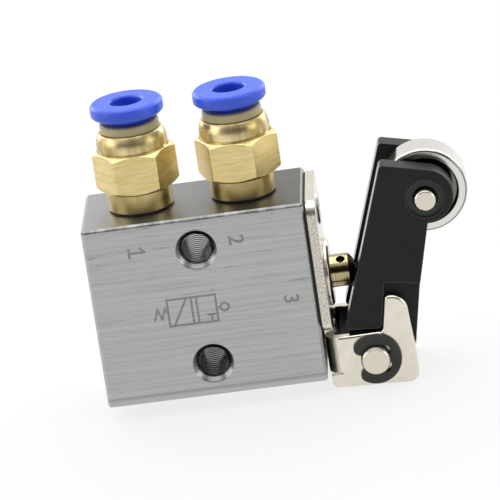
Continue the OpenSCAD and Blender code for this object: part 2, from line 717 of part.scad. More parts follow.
module lever() color("#262626") difference() {
    union() {
        both_sides() {
            across(arm_y - arm_t, arm_y) arm_outline();
            across(hub_w / 2 - cheek_t, hub_w / 2) cheek_outline();
        }
        across(-hub_w / 2, hub_w / 2) translate(pivot) circle(hub_r);
        across(-arm_gap / 2 - weld, arm_gap / 2 + weld) web_outline();
    }
    translate([pivot[0], 0, pivot[1]]) rotate([90, 0, 0])
        cylinder(d = pivot_d + 2 * run_gap, h = body_t, center = true);
    translate([pivot[0] + roller_at[0], 0, pivot[1] + roller_at[1]]) rotate([90, 0, 0]) {
        cylinder(d = roller_pin_d + 2 * seat_gap, h = body_t, center = true);
        cylinder(d = roller_d + 2 * roller_clear, h = arm_gap, center = true);
        for (side = [0, 180]) rotate([side, 0, 0]) {
            translate([0, 0, arm_y - pin_recess]) cylinder(d = pin_recess_d, h = pin_recess + cut);
            translate([0, 0, arm_y - pin_recess - pin_ease]) cylinder(d = pin_ease_d, h = pin_ease + cut);
        }
    }
}

module pivot_pin() color("#b5b5b2") translate([pivot[0], 0, pivot[1]]) rotate([90, 0, 0]) {
    half = clip_y + clip_t + groove_slack + pin_end;
    groove_in = clip_y - groove_slack;
    groove_out = clip_y + clip_t + groove_slack;
    bevel = 0.3;
    turned([[0, -half], [pivot_d / 2 - bevel, -half], [pivot_d / 2, -half + bevel],
        [pivot_d / 2, -groove_out], [groove_d / 2, -groove_out], [groove_d / 2, -groove_in],
        [pivot_d / 2, -groove_in], [pivot_d / 2, groove_in], [groove_d / 2, groove_in],
        [groove_d / 2, groove_out], [pivot_d / 2, groove_out], [pivot_d / 2, half - bevel],
        [pivot_d / 2 - bevel, half], [0, half]]);
}

// Clip with rounded ends and a pocket on each side of its middle lug
module clip_outline() {
    ends = [clip_turn - clip_open / 2, clip_turn + clip_open / 2];
    difference() {
        circle(d = clip_d);
        circle(d = clip_inner_d);
        polygon(concat([[0, 0]], [for (i = [0 : 4]) let (a = ends[0] + clip_open * i / 4)
            clip_d * [cos(a), sin(a)]]));
        for (side = [-1, 1]) rotate(side * clip_pocket_turn) translate([clip_pocket_r, 0])
            circle(d = clip_pocket_d);
    }
    for (turn = ends) rotate(turn) translate([clip_mid_r, 0]) circle(d = clip_ring);
}

module pivot_clips() color("#1b1b1d") both_sides()
    across(clip_y, clip_y + clip_t) translate(pivot) clip_outline();

module roller() color("#d6d6d2") translate([pivot[0] + roller_at[0], 0, pivot[1] + roller_at[1]])
    rotate([90, 0, 0]) {
        bore = roller_pin_d / 2 + run_gap;
        hub_wall = 1.3;
        hub = bore + hub_wall;
        edge = 0.3;
        turned([[bore, -roller_hub_w / 2], [hub, -roller_hub_w / 2], [hub, -roller_w / 2 + roller_dish],
            [roller_d / 2 - rim_t, -roller_w / 2 + roller_dish], [roller_d / 2 - rim_t, -roller_w / 2],
            [roller_d / 2 - edge, -roller_w / 2], [roller_d / 2, -roller_w / 2 + edge],
            [roller_d / 2, roller_w / 2 - edge], [roller_d / 2 - edge, roller_w / 2],
            [roller_d / 2 - rim_t, roller_w / 2], [roller_d / 2 - rim_t, roller_w / 2 - roller_dish],
            [hub, roller_w / 2 - roller_dish], [hub, roller_hub_w / 2], [bore, roller_hub_w / 2]]);
    }

module roller_pin() color("#c4c3be") translate([pivot[0] + roller_at[0], 0, pivot[1] + roller_at[1]])
    rotate([90, 0, 0]) {
        half = arm_y + pin_proud;
        bevel = 0.25;
        turned([[0, -half], [roller_pin_d / 2 - bevel, -half], [roller_pin_d / 2, -half + bevel],
            [roller_pin_d / 2, half - bevel], [roller_pin_d / 2 - bevel, half], [0, half]]);
    }

// Places its children on the fitting axis at the top of the block
module at_port(side) {
    translate([side * port_offset, 0, top_z]) children();
}

module fitting(hex_turn) {
    throat = 0.5;
    cone = (hex_turned_d - foot_d) / 2 * tan(hex_slope);
    top_cone = (hex_turned_d - cap_d) / 2 * tan(hex_slope);
    arc_x = cap_d / 2 - cap_round;
    arc_turn = acos((cap_top_d / 2 - arc_x) / cap_round);
    arc_z = cap_top - cap_round * sin(arc_turn);
    cap_arc = [for (i = [0 : 8]) [arc_x + cap_round * cos(arc_turn * i / 8),
        arc_z + cap_round * sin(arc_turn * i / 8)]];
    groove_r = cap_d / 2 - cap_groove;
    difference() {
        union() {
            turned(concat([[0, -stub_len], [stub_d / 2 - throat, -stub_len], [stub_d / 2, throat - stub_len],
                [stub_d / 2, foot_base], [foot_d / 2, foot_base], [foot_d / 2, hex_base + weld],
                [groove_r, hex_base + cone], [groove_r, hex_top + cap_groove],
                [cap_d / 2, hex_top + 2 * cap_groove]], cap_arc, [[0, cap_top]]));
            intersection() {
                translate([0, 0, hex_base]) rotate(hex_turn) cylinder(d = hex_corner_d, h = hex_h, $fn = 6);
                turned([[0, hex_base], [foot_d / 2, hex_base], [hex_turned_d / 2, hex_base + cone],
                    [hex_turned_d / 2, hex_top - top_cone], [cap_d / 2 + weld, hex_top], [0, hex_top]]);
            }
        }
        translate([0, 0, tube_seal_base]) cylinder(d = grip_bore_d, h = cap_top);
        translate([0, 0, socket_base]) cylinder(d = tube_hole_d, h = cap_top);
        translate([0, 0, -stub_len - cut]) cylinder(d = stub_bore_d, h = cap_top + stub_len);
    }
}

module washer() {
    turned([[stub_d / 2 + seat_gap, seat_gap], [washer_d / 2, seat_gap],
        [washer_d / 2, washer_t - seat_gap], [stub_d / 2 + seat_gap, washer_t - seat_gap]]);
}

module tube_seal() {
    lip = 0.5;
    turned([[tube_hole_d / 2, tube_seal_base + lip], [tube_hole_d / 2 + lip, tube_seal_base + seat_gap],
        [grip_bore_d / 2 - seat_gap, tube_seal_base + seat_gap],
        [grip_bore_d / 2 - seat_gap, tube_seal_base + tube_seal_t],
        [tube_hole_d / 2 + lip, tube_seal_base + tube_seal_t],
        [tube_hole_d / 2, tube_seal_base + tube_seal_t - lip]]);
}

module grip_ring() difference() {
    turned([[grip_inner_d / 2, grip_ring_base], [grip_bore_d / 2 - seat_gap, grip_ring_base],
        [grip_bore_d / 2 - seat_gap, grip_ring_base + grip_ring_t],
        [grip_inner_d / 2, grip_ring_base + grip_ring_t]]);
    for (i = [0 : grip_teeth - 1]) rotate(360 * i / grip_teeth)
        translate([0, -grip_slit / 2, grip_ring_base - cut])
            cube([collar_stem_d / 2, grip_slit, grip_ring_t + 2 * cut]);
}

module sleeve() {
    turned([[barb_well_d / 2, sleeve_base], [grip_bore_d / 2 - seat_gap, sleeve_base],
        [grip_bore_d / 2 - seat_gap, cap_top + seat_gap], [sleeve_d / 2, cap_top + seat_gap],
        [sleeve_d / 2, sleeve_top - sleeve_edge], [sleeve_d / 2 - sleeve_edge, sleeve_top],
        [collar_stem_d / 2 + run_gap, sleeve_top], [collar_stem_d / 2 + run_gap, sleeve_base + sleeve_lip],
        [barb_well_d / 2, sleeve_base + sleeve_lip]]);
}

module collar() {
    edge = 0.35;
    turned([[tube_hole_d / 2, stem_base], [barb_d / 2, stem_base], [barb_d / 2, stem_base + stem_barb_h],
        [collar_stem_d / 2, stem_base + stem_barb_h], [collar_stem_d / 2, collar_base],
        [collar_d / 2 - edge, collar_base], [collar_d / 2, collar_base + edge],
        [collar_d / 2, collar_top - edge], [collar_d / 2 - edge, collar_top],
        [tube_hole_d / 2 + collar_mouth, collar_top], [tube_hole_d / 2, collar_top - collar_mouth]]);
}

module supply_fitting() color("#c7a75a") at_port(-1) fitting(supply_hex_turn);
module supply_washer() color("#1a1a1a") at_port(-1) washer();
module supply_tube_seal() color("#202020") at_port(-1) tube_seal();
module supply_grip_ring() color("#bfbfbf") at_port(-1) grip_ring();
module supply_sleeve() color("#b3aa94") at_port(-1) sleeve();
module supply_collar() color("#2446d8") at_port(-1) collar();
module outlet_fitting() color("#c7a75a") at_port(1) fitting(outlet_hex_turn);
module outlet_washer() color("#1a1a1a") at_port(1) washer();
module outlet_tube_seal() color("#202020") at_port(1) tube_seal();
module outlet_grip_ring() color("#bfbfbf") at_port(1) grip_ring();
module outlet_sleeve() color("#b3aa94") at_port(1) sleeve();
module outlet_collar() color("#2446d8") at_port(1) collar();

valve_body();
end_plug();
end_plug_seal();
poppet_spring();
poppet();
poppet_disc();
plunger();
plunger_spring();
plunger_seal();
guide_bush();
bush_seal();
bracket_gasket();
bracket();
bracket_screws();
lever();
pivot_pin();
pivot_clips();
roller();
roller_pin();
supply_fitting();
supply_washer();
supply_tube_seal();
supply_grip_ring();
supply_sleeve();
supply_collar();
outlet_fitting();
outlet_washer();
outlet_tube_seal();
outlet_grip_ring();
outlet_sleeve();
outlet_collar();
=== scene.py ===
# %% [markdown]
# # Dressing a roller lever air valve
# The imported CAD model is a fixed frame: every solid already sits where it belongs, in metres, with
# X towards the roller, Y away from the camera and Z up to the tube fittings. This lesson gives each
# solid the edges, threads and finishes of the real valve, then lights it and sets the camera.

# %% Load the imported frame
import json
from math import hypot, pi, radians

import bmesh
import bpy
from mathutils import Euler, Matrix, Vector


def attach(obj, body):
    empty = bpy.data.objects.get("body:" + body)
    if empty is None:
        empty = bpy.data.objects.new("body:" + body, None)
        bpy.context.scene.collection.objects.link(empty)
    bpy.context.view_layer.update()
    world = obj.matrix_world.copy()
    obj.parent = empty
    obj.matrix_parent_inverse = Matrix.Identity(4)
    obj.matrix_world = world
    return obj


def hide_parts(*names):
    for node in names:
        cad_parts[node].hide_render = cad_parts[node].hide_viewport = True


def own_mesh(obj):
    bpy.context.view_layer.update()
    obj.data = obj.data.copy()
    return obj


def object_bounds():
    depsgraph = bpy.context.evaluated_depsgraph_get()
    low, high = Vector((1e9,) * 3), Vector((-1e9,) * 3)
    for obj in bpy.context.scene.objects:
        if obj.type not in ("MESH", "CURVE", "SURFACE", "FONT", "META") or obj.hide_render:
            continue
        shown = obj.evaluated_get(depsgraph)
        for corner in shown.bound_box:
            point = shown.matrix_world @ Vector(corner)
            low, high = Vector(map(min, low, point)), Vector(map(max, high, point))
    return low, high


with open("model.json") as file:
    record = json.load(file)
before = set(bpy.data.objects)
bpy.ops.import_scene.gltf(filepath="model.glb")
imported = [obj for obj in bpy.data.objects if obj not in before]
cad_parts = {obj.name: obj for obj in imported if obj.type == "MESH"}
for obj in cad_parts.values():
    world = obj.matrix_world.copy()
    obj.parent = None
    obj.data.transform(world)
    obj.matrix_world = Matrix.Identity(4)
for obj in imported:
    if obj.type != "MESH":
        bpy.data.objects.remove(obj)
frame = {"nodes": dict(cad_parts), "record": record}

MM = 0.001
cad_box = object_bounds()
print("CAD nodes:", len(frame["nodes"]))

# %% [markdown]
# ## Small tools for shaders
# Every finish below is a Principled shader fed by procedural noise. Object coordinates are used, in
# millimetres, because each mesh keeps its place in the shared frame and the pattern then stays put.
# A few short helpers keep the node code readable.

# %% Shader helpers
# Sockets of the Mix node for each kind of data: its two inputs and its result. Input 0 is the mask.
MIX_SOCKETS = {"FLOAT": (2, 3, 0), "RGBA": (6, 7, 2)}


def add(tree, kind, values=None, **settings):
    """Adds a shader node, sets its properties and the default values of its inputs."""
    made = tree.nodes.new("ShaderNode" + kind)
    for key, value in settings.items():
        setattr(made, key, value)
    for key, value in (values or {}).items():
        made.inputs[key].default_value = value
    return made


def millimetres(tree, stretch=(1, 1, 1), centre=(0, 0, 0)):
    """Object coordinates in millimetres, measured from a centre and stretched along each axis."""
    place = add(tree, "TexCoord")
    scale = [s / MM for s in stretch]
    mapping = add(tree, "Mapping", {"Scale": scale, "Location": [-c * s for c, s in zip(centre, stretch)]})
    tree.links.new(place.outputs["Object"], mapping.inputs["Vector"])
    return mapping.outputs["Vector"]


def new_group(name, inputs, outputs):
    """An empty shader node group with named sockets."""
    group = bpy.data.node_groups.new(name, "ShaderNodeTree")
    for label, kind, value in inputs:
        group.interface.new_socket(label, in_out="INPUT", socket_type=kind).default_value = value
    for label, kind in outputs:
        group.interface.new_socket(label, in_out="OUTPUT", socket_type=kind)
    return group, group.nodes.new("NodeGroupInput"), group.nodes.new("NodeGroupOutput")


def spread(tree, source, low, high, to_low=0.0, to_high=1.0):
    """Maps a value from one range to another and clamps it."""
    ramp = add(tree, "MapRange", {"From Min": low, "From Max": high, "To Min": to_low, "To Max": to_high})
    tree.links.new(source, ramp.inputs["Value"])
    return ramp.outputs["Result"]


def blend(tree, mask, first, second, kind="RGBA"):
    """One colour or value where the mask is 0 and another where it is 1. A colour may be a constant."""
    mix = add(tree, "Mix", data_type=kind)
    first_place, second_place, result = MIX_SOCKETS[kind]
    tree.links.new(mask, mix.inputs[0])
    for source, place in ((first, first_place), (second, second_place)):
        if isinstance(source, tuple):
            mix.inputs[place].default_value = (*source, 1)
        else:
            tree.links.new(source, mix.inputs[place])
    return mix.outputs[result]

# %% [markdown]
# ## Effects that several finishes share
# Brushing, turning and milling all leave fine parallel lines, so one group makes them from stretched
# noise. Moulded plastic and rubber have a fine grain with a slow mottle under it. Edges get a painted
# highlight: a lighter tone where the Bevel node finds them by comparing the rounded normal with the
# true one.

# %% Groups for marks, grain and edges
SCALAR = "NodeSocketFloat"
VECTOR = "NodeSocketVector"

tool_marks, entry, leave = new_group(
    "tool_marks", [("Vector", VECTOR, (0, 0, 0)), ("Coarse", SCALAR, 0.25)],
    [("Mask", SCALAR), ("Hairlines", SCALAR)])
fine = add(tool_marks, "TexNoise", {"Scale": 1.0, "Detail": 3.0, "Roughness": 0.65})
coarse = add(tool_marks, "TexNoise", {"Detail": 2.0, "Roughness": 0.5})
mixed = add(tool_marks, "Math", operation="ADD")
tool_marks.links.new(entry.outputs["Vector"], fine.inputs["Vector"])
tool_marks.links.new(entry.outputs["Vector"], coarse.inputs["Vector"])
tool_marks.links.new(entry.outputs["Coarse"], coarse.inputs["Scale"])
tool_marks.links.new(fine.outputs["Fac"], mixed.inputs[0])
tool_marks.links.new(coarse.outputs["Fac"], mixed.inputs[1])
tool_marks.links.new(spread(tool_marks, mixed.outputs[0], 0.72, 1.28), leave.inputs["Mask"])
# Hairlines follow one level of a slow noise, and a second noise leaves only some of them
level = add(tool_marks, "TexNoise", {"Scale": 0.45, "Detail": 2.0, "Roughness": 0.6})
choice = add(tool_marks, "TexNoise", {"Scale": 0.17, "Detail": 1.0})
off_level = add(tool_marks, "Math", {1: 0.5}, operation="SUBTRACT")
near_level = add(tool_marks, "Math", operation="ABSOLUTE")
kept = add(tool_marks, "Math", operation="MULTIPLY")
tool_marks.links.new(entry.outputs["Vector"], level.inputs["Vector"])
tool_marks.links.new(entry.outputs["Vector"], choice.inputs["Vector"])
tool_marks.links.new(level.outputs["Fac"], off_level.inputs[0])
tool_marks.links.new(off_level.outputs[0], near_level.inputs[0])
tool_marks.links.new(spread(tool_marks, near_level.outputs[0], 0.004, 0.014, 1.0, 0.0), kept.inputs[0])
tool_marks.links.new(spread(tool_marks, choice.outputs["Fac"], 0.46, 0.56), kept.inputs[1])
tool_marks.links.new(kept.outputs[0], leave.inputs["Hairlines"])

moulded_grain, entry, leave = new_group(
    "moulded_grain", [("Vector", VECTOR, (0, 0, 0)), ("Fineness", SCALAR, 9.0)],
    [("Height", SCALAR), ("Mottle", SCALAR)])
grain = add(moulded_grain, "TexNoise", {"Detail": 2.0})
mottle = add(moulded_grain, "TexNoise", {"Scale": 0.35, "Detail": 3.0})
moulded_grain.links.new(entry.outputs["Vector"], grain.inputs["Vector"])
moulded_grain.links.new(entry.outputs["Vector"], mottle.inputs["Vector"])
moulded_grain.links.new(entry.outputs["Fineness"], grain.inputs["Scale"])
moulded_grain.links.new(grain.outputs["Fac"], leave.inputs["Height"])
moulded_grain.links.new(spread(moulded_grain, mottle.outputs["Fac"], 0.3, 0.7), leave.inputs["Mottle"])

# Mask of the rounded edges, where moulded finishes paint a lighter tone as a highlight
highlighted_edges, entry, leave = new_group(
    "highlighted_edges", [("Width", SCALAR, 0.25 * MM), ("Strength", SCALAR, 6.0)], [("Mask", SCALAR)])
rounded = add(highlighted_edges, "Bevel", samples=4)
surface = add(highlighted_edges, "NewGeometry")
turn = add(highlighted_edges, "VectorMath", operation="DOT_PRODUCT")
bend = add(highlighted_edges, "Math", {0: 1.0}, operation="SUBTRACT")
gain = add(highlighted_edges, "Math", operation="MULTIPLY", use_clamp=True)
highlighted_edges.links.new(entry.outputs["Width"], rounded.inputs["Radius"])
highlighted_edges.links.new(rounded.outputs["Normal"], turn.inputs[0])
highlighted_edges.links.new(surface.outputs["Normal"], turn.inputs[1])
highlighted_edges.links.new(turn.outputs["Value"], bend.inputs[1])
highlighted_edges.links.new(bend.outputs[0], gain.inputs[0])
highlighted_edges.links.new(entry.outputs["Strength"], gain.inputs[1])
highlighted_edges.links.new(gain.outputs[0], leave.inputs["Mask"])

# Marks of a lathe: lines that depend only on the distance from the axis and the place along it
lathe_marks, entry, leave = new_group(
    "lathe_marks", [("Vector", VECTOR, (0, 0, 0)), ("Across", VECTOR, (1, 1, 0)), ("Fineness", SCALAR, 5.0)],
    [("Mask", SCALAR)])
flat = add(lathe_marks, "VectorMath", operation="MULTIPLY")
radius = add(lathe_marks, "VectorMath", operation="LENGTH")
rest = add(lathe_marks, "VectorMath", operation="SUBTRACT")
along = add(lathe_marks, "VectorMath", operation="LENGTH")
pair = add(lathe_marks, "CombineXYZ")
lines = add(lathe_marks, "TexNoise", {"Detail": 2.0, "Roughness": 0.7}, noise_dimensions="2D")
lathe_marks.links.new(entry.outputs["Vector"], flat.inputs[0])
lathe_marks.links.new(entry.outputs["Across"], flat.inputs[1])
lathe_marks.links.new(flat.outputs["Vector"], radius.inputs[0])
lathe_marks.links.new(entry.outputs["Vector"], rest.inputs[0])
lathe_marks.links.new(flat.outputs["Vector"], rest.inputs[1])
lathe_marks.links.new(rest.outputs["Vector"], along.inputs[0])
lathe_marks.links.new(radius.outputs["Value"], pair.inputs["X"])
lathe_marks.links.new(along.outputs["Value"], pair.inputs["Y"])
lathe_marks.links.new(pair.outputs["Vector"], lines.inputs["Vector"])
lathe_marks.links.new(entry.outputs["Fineness"], lines.inputs["Scale"])
lathe_marks.links.new(spread(lathe_marks, lines.outputs["Fac"], 0.35, 0.65), leave.inputs["Mask"])
print("Shared effects:", [group.name for group in bpy.data.node_groups])

# %% [markdown]
# ## Finishes
# Metals get their tone from the base colour and their character from roughness and a shallow bump
# along the tool's direction. Plastics keep one dark or bright tone that varies a little with the
# mottle. Numbers that are the same all over a surface are set on the shader itself. Light and shade
# are also painted into the tone, in places that masks pick out: painted highlights on edges, glints on
# the block's chamfer and a lighter recess in the lever; painted shade and dark reflections in holes
# and threads, between the bracket's ears, on its bend, on the roller, pins and plunger, and under the
# collars; and a block top painted lighter at one end than the other.

# %% Sizes that the finishes use, in millimetres
BLOCK_TOP, FRONT_FACE, BODY_THICKNESS = 12.75, -8.0, 16.0
BLOCK_HEIGHT = 2 * BLOCK_TOP
PORT_OFFSET, MOUNT_SPACING, MOUNT_BORE = 6.95, 16.3, 4.2
EAR_INNER, BEND_END, SLIT_FOOT = 5.65, 17.12, -12.5
ROLLER_AXIS, PIVOT_AXIS = (31.2, 0, 10.55), (21.76, 0, -10.75)
AROUND_X, AROUND_Y = (0, 1, 1), (1, 0, 1)

# A mask changes between the two numbers of a pair: a distance from an axis, or a place along X, Y or Z
COUNTERSINK, BORE = (2.76, 2.84), (2.14, 2.22)
THREAD_GROOVE, THREAD_SIDE, HOLE_MOUTH = (1.92, 1.98), (1.3, 1.95), (6.3, 6.9)
TOP_SHADE, HAIRLINE_SHADE = (-14, 12), (-5, 5)
HEXAGON, ABOVE_FOOT = (4.84, 4.94), (BLOCK_TOP + 1.6, BLOCK_TOP + 4.0)
SHEARED_EDGE, INSIDE_EARS = (7.8, 7.95), (EAR_INNER + 0.03, EAR_INNER + 0.1)
PAST_PLATE, BEFORE_EAR, ABOVE_SLIT = (16.55, 16.7), (BEND_END, BEND_END + 0.2), (SLIT_FOOT - 0.1, SLIT_FOOT)
# Lines along the block, as depths under its top: where a line starts and where it ends
# UPPER_LINE is painted shade under the chamfer; LOWER_LINE is a fainter dark line over the lower edge
UPPER_LINE = (0.2, 0.26), (0.4, 0.48)
LOWER_LINE = (BLOCK_HEIGHT - 1.35, BLOCK_HEIGHT - 1.2), (BLOCK_HEIGHT - 1.1, BLOCK_HEIGHT - 0.7)
ZONE_FADE, BAND_FADE, RECESS_FADE = 0.1, 0.25, 0.1
print("Block top at", BLOCK_TOP, "mm, roller axis at", ROLLER_AXIS)

# %% Parts of a finish
SOCKET_NAMES = {"metallic": "Metallic", "roughness": "Roughness", "specular_ior_level": "Specular IOR Level",
                "subsurface": "Subsurface Weight", "light_reach": "Subsurface Radius",
                "reach_scale": "Subsurface Scale"}


def new_finish(name, **constants):
    """A material with a Principled shader, and its constant sockets set."""
    finish = bpy.data.materials.new(name)
    finish.use_nodes = True
    shader = finish.node_tree.nodes["Principled BSDF"]
    for label, value in constants.items():
        shader.inputs[SOCKET_NAMES[label]].default_value = value
    return finish, finish.node_tree, shader


def use_group(tree, group, values=None, vector=None):
    """Places a shared effect in a material."""
    placed = add(tree, "Group", node_tree=group)
    for label, value in (values or {}).items():
        placed.inputs[label].default_value = value
    if vector:
        tree.links.new(vector, placed.inputs["Vector"])
    return placed


def bump_from(tree, shader, mask, depth):
    """A shallow bump, its depth in millimetres."""
    bump = add(tree, "Bump", {"Strength": 1.0, "Distance": depth * MM})
    tree.links.new(mask, bump.inputs["Height"])
    tree.links.new(bump.outputs["Normal"], shader.inputs["Normal"])


def rough_and_bump(tree, shader, mask, smooth, rough, depth):
    """Roughness between two values and a shallow bump, both from one mask."""
    tree.links.new(spread(tree, mask, 0, 1, smooth, rough), shader.inputs["Roughness"])
    bump_from(tree, shader, mask, depth)


def two_roughnesses(tree, shader, where, mask, usual, special):
    """Roughness from a mask, between one pair of values mostly and another pair in some places."""
    ranges = [spread(tree, mask, 0, 1, *pair) for pair in (usual, special)]
    tree.links.new(blend(tree, where, *ranges, "FLOAT"), shader.inputs["Roughness"])

# %% Places on a surface, for the masks
def places(tree):
    """The three object coordinates in millimetres, each by itself."""
    parts = add(tree, "SeparateXYZ")
    tree.links.new(millimetres(tree), parts.inputs[0])
    return parts.outputs


def facing(tree):
    """The three parts of the direction that the surface faces."""
    parts = add(tree, "SeparateXYZ")
    tree.links.new(add(tree, "TexCoord").outputs["Normal"], parts.inputs[0])
    return parts.outputs


def magnitude(tree, source):
    """A value without its sign."""
    positive = add(tree, "Math", operation="ABSOLUTE")
    tree.links.new(source, positive.inputs[0])
    return positive.outputs[0]


def times(tree, first, second):
    """The product of two masks."""
    product = add(tree, "Math", operation="MULTIPLY")
    tree.links.new(first, product.inputs[0])
    tree.links.new(second, product.inputs[1])
    return product.outputs[0]


def band(tree, source, start, end, strength=1.0):
    """A mask that rises between the two numbers of start and falls between those of end."""
    return times(tree, spread(tree, source, *start), spread(tree, source, *end, strength, 0.0))


def around(tree, centre, across):
    """Distance from an axis through a centre."""
    flattened = add(tree, "VectorMath", {1: across}, operation="MULTIPLY")
    distance = add(tree, "VectorMath", operation="LENGTH")
    tree.links.new(millimetres(tree, centre=centre), flattened.inputs[0])
    tree.links.new(flattened.outputs["Vector"], distance.inputs[0])
    return distance.outputs["Value"]


def radius_from_pair(tree, paired, offset, other):
    """Distance from the nearer of two axes that lie at plus and minus an offset."""
    from_axis = add(tree, "Math", {1: offset}, operation="SUBTRACT")
    across = add(tree, "CombineXYZ")
    radius = add(tree, "VectorMath", operation="LENGTH")
    tree.links.new(magnitude(tree, places(tree)[paired]), from_axis.inputs[0])
    tree.links.new(from_axis.outputs[0], across.inputs["X"])
    tree.links.new(places(tree)[other], across.inputs["Y"])
    tree.links.new(across.outputs["Vector"], radius.inputs[0])
    return radius.outputs["Value"]

# %% Metals
NEAR_BLACK = (0.03, 0.03, 0.03)
LINES_ALONG_X = (0.1, 9, 9)


def brushed_metal(name, dark, light, stretch, smooth, rough, depth, coarse_share=0.25):
    """Bare metal with straight tool marks along the axis that is stretched least."""
    finish, tree, shader = new_finish(name, metallic=1.0)
    marks = use_group(tree, tool_marks, {"Coarse": coarse_share}, millimetres(tree, stretch))
    mask = marks.outputs["Mask"]
    tree.links.new(blend(tree, mask, dark, light), shader.inputs["Base Color"])
    rough_and_bump(tree, shader, mask, smooth, rough, depth)
    return finish


def chamfer_glints(tree, edge_patches, tone, dark, light):
    """The chamfer round the block's top gets its own tone, with painted glints in patches along its length.
    """
    on_chamfer = band(tree, facing(tree)["Z"], (0.25, 0.45), (0.85, 0.95))
    return blend(tree, on_chamfer, tone, blend(tree, spread(tree, edge_patches, 0.42, 0.6), dark, light))


def edge_lines(tree, edge_patches, tone, lower_tone):
    """A broken dark line under the block's upper edge, painted shade under the chamfer, and a fainter dark
    line over its lower edge.
    """
    depth = add(tree, "Math", {0: BLOCK_TOP}, operation="SUBTRACT")
    tree.links.new(places(tree)["Z"], depth.inputs[1])
    # The upper line is painted shade under the chamfer
    upper = times(tree, band(tree, depth.outputs[0], *UPPER_LINE), spread(tree, edge_patches, 0.4, 0.55, 1.0, 0.55))
    lower = band(tree, depth.outputs[0], *LOWER_LINE, strength=0.5)
    return blend(tree, upper, blend(tree, lower, tone, lower_tone), NEAR_BLACK)


def block_metal(name, dark, light, top_left, top_right, hairline, chamfer_dark, chamfer_light):
    """Brushed block: lines along X, a top painted lighter at the left and darker at the right, painted
    glints on the chamfer, dark lines along its edges, and smooth holes painted darker inwards as shade.
    """
    finish, tree, shader = new_finish(name, metallic=1.0)
    marks = use_group(tree, tool_marks, {"Coarse": 0.26}, millimetres(tree, LINES_ALONG_X))
    mask = marks.outputs["Mask"]
    # The top face takes its own tone, painted lighter at the left and darker at the right as light and shade
    upward = spread(tree, facing(tree)["Z"], 0.55, 0.65)
    top_tone = blend(tree, spread(tree, places(tree)["X"], *TOP_SHADE), top_left, top_right)
    tone = blend(tree, upward, blend(tree, mask, dark, light), top_tone)
    # Patchy noise along X: it places the painted glints on the chamfer and breaks up the painted shade line
    # under it
    edge_noise = add(tree, "TexNoise", {"Scale": 1.0, "Detail": 5.0, "Roughness": 0.7})
    tree.links.new(millimetres(tree, (0.3, 0, 0)), edge_noise.inputs["Vector"])
    edge_patches = edge_noise.outputs["Fac"]
    # Painted glints on the chamfer
    tone = chamfer_glints(tree, edge_patches, tone, chamfer_dark, chamfer_light)
    fewer_below = spread(tree, places(tree)["Z"], *HAIRLINE_SHADE, 0.6, 1.0)
    tone = blend(tree, times(tree, marks.outputs["Hairlines"], fewer_below), tone, hairline)
    tone = edge_lines(tree, edge_patches, tone, hairline)
    from_hole = radius_from_pair(tree, "Z", MOUNT_SPACING / 2, "X")
    drilled = spread(tree, from_hole, *COUNTERSINK, 1.0, 0.0)
    in_bore = spread(tree, from_hole, *BORE, 1.0, 0.0)
    # Painted shade in the mounting holes: the countersinks take a darker tone and the bores are near black
    tone = blend(tree, in_bore, blend(tree, drilled, tone, hairline), NEAR_BLACK)
    tree.links.new(tone, shader.inputs["Base Color"])
    two_roughnesses(tree, shader, drilled, mask, (0.3, 0.42), (0.18, 0.24))
    bump_from(tree, shader, mask, 0.008)
    return finish


def thread_metal(name, groove, crest, side, low):
    """Tapped metal: light crests, grooves painted dark as shade but less so at the mouth, and sides and the
    low hole painted darker as shade.
    """
    finish, tree, shader = new_finish(name, metallic=1.0, roughness=0.18)
    from_axis = radius_from_pair(tree, "Z", MOUNT_SPACING / 2, "X")
    # Painted shade: grooves dark, less so near the mouth; the low hole and the sides of the hole darker
    # still
    inward = spread(tree, magnitude(tree, places(tree)["Y"]), *HOLE_MOUTH, 1.0, 0.6)
    on_groove = times(tree, spread(tree, from_axis, *THREAD_GROOVE), inward)
    in_low_hole = spread(tree, places(tree)["Z"], -1, 1, 0.65, 0.0)
    on_side = spread(tree, magnitude(tree, places(tree)["X"]), *THREAD_SIDE)
    tone = blend(tree, in_low_hole, blend(tree, on_groove, crest, groove), low)
    tree.links.new(blend(tree, on_side, tone, side), shader.inputs["Base Color"])
    return finish


def fitting_metal(name, dark, light, milled_dark, milled_light):
    """Brass of a fitting: turned round its axis, with a hexagon milled on it, darker towards the foot."""
    finish, tree, shader = new_finish(name, metallic=1.0)
    milled = spread(tree, radius_from_pair(tree, "X", PORT_OFFSET, "Y"), *HEXAGON)
    rings = use_group(tree, tool_marks, {"Coarse": 0.3}, millimetres(tree, (0.3, 0.3, 4)))
    cuts = use_group(tree, tool_marks, {"Coarse": 0.4}, millimetres(tree, (0.6, 0.6, 5)))
    patches = add(tree, "TexNoise", {"Scale": 1.0, "Detail": 2.0})
    tree.links.new(millimetres(tree, (0.55, 0.55, 0.1)), patches.inputs["Vector"])
    bright = times(tree, spread(tree, patches.outputs["Fac"], 0.36, 0.64),
                   spread(tree, places(tree)["Z"], *ABOVE_FOOT))
    tone = blend(tree, milled, blend(tree, bright, dark, light),
                  blend(tree, cuts.outputs["Mask"], milled_dark, milled_light))
    tree.links.new(tone, shader.inputs["Base Color"])
    marks = blend(tree, milled, rings.outputs["Mask"], cuts.outputs["Mask"], "FLOAT")
    rough_and_bump(tree, shader, marks, 0.27, 0.38, 0.004)
    return finish


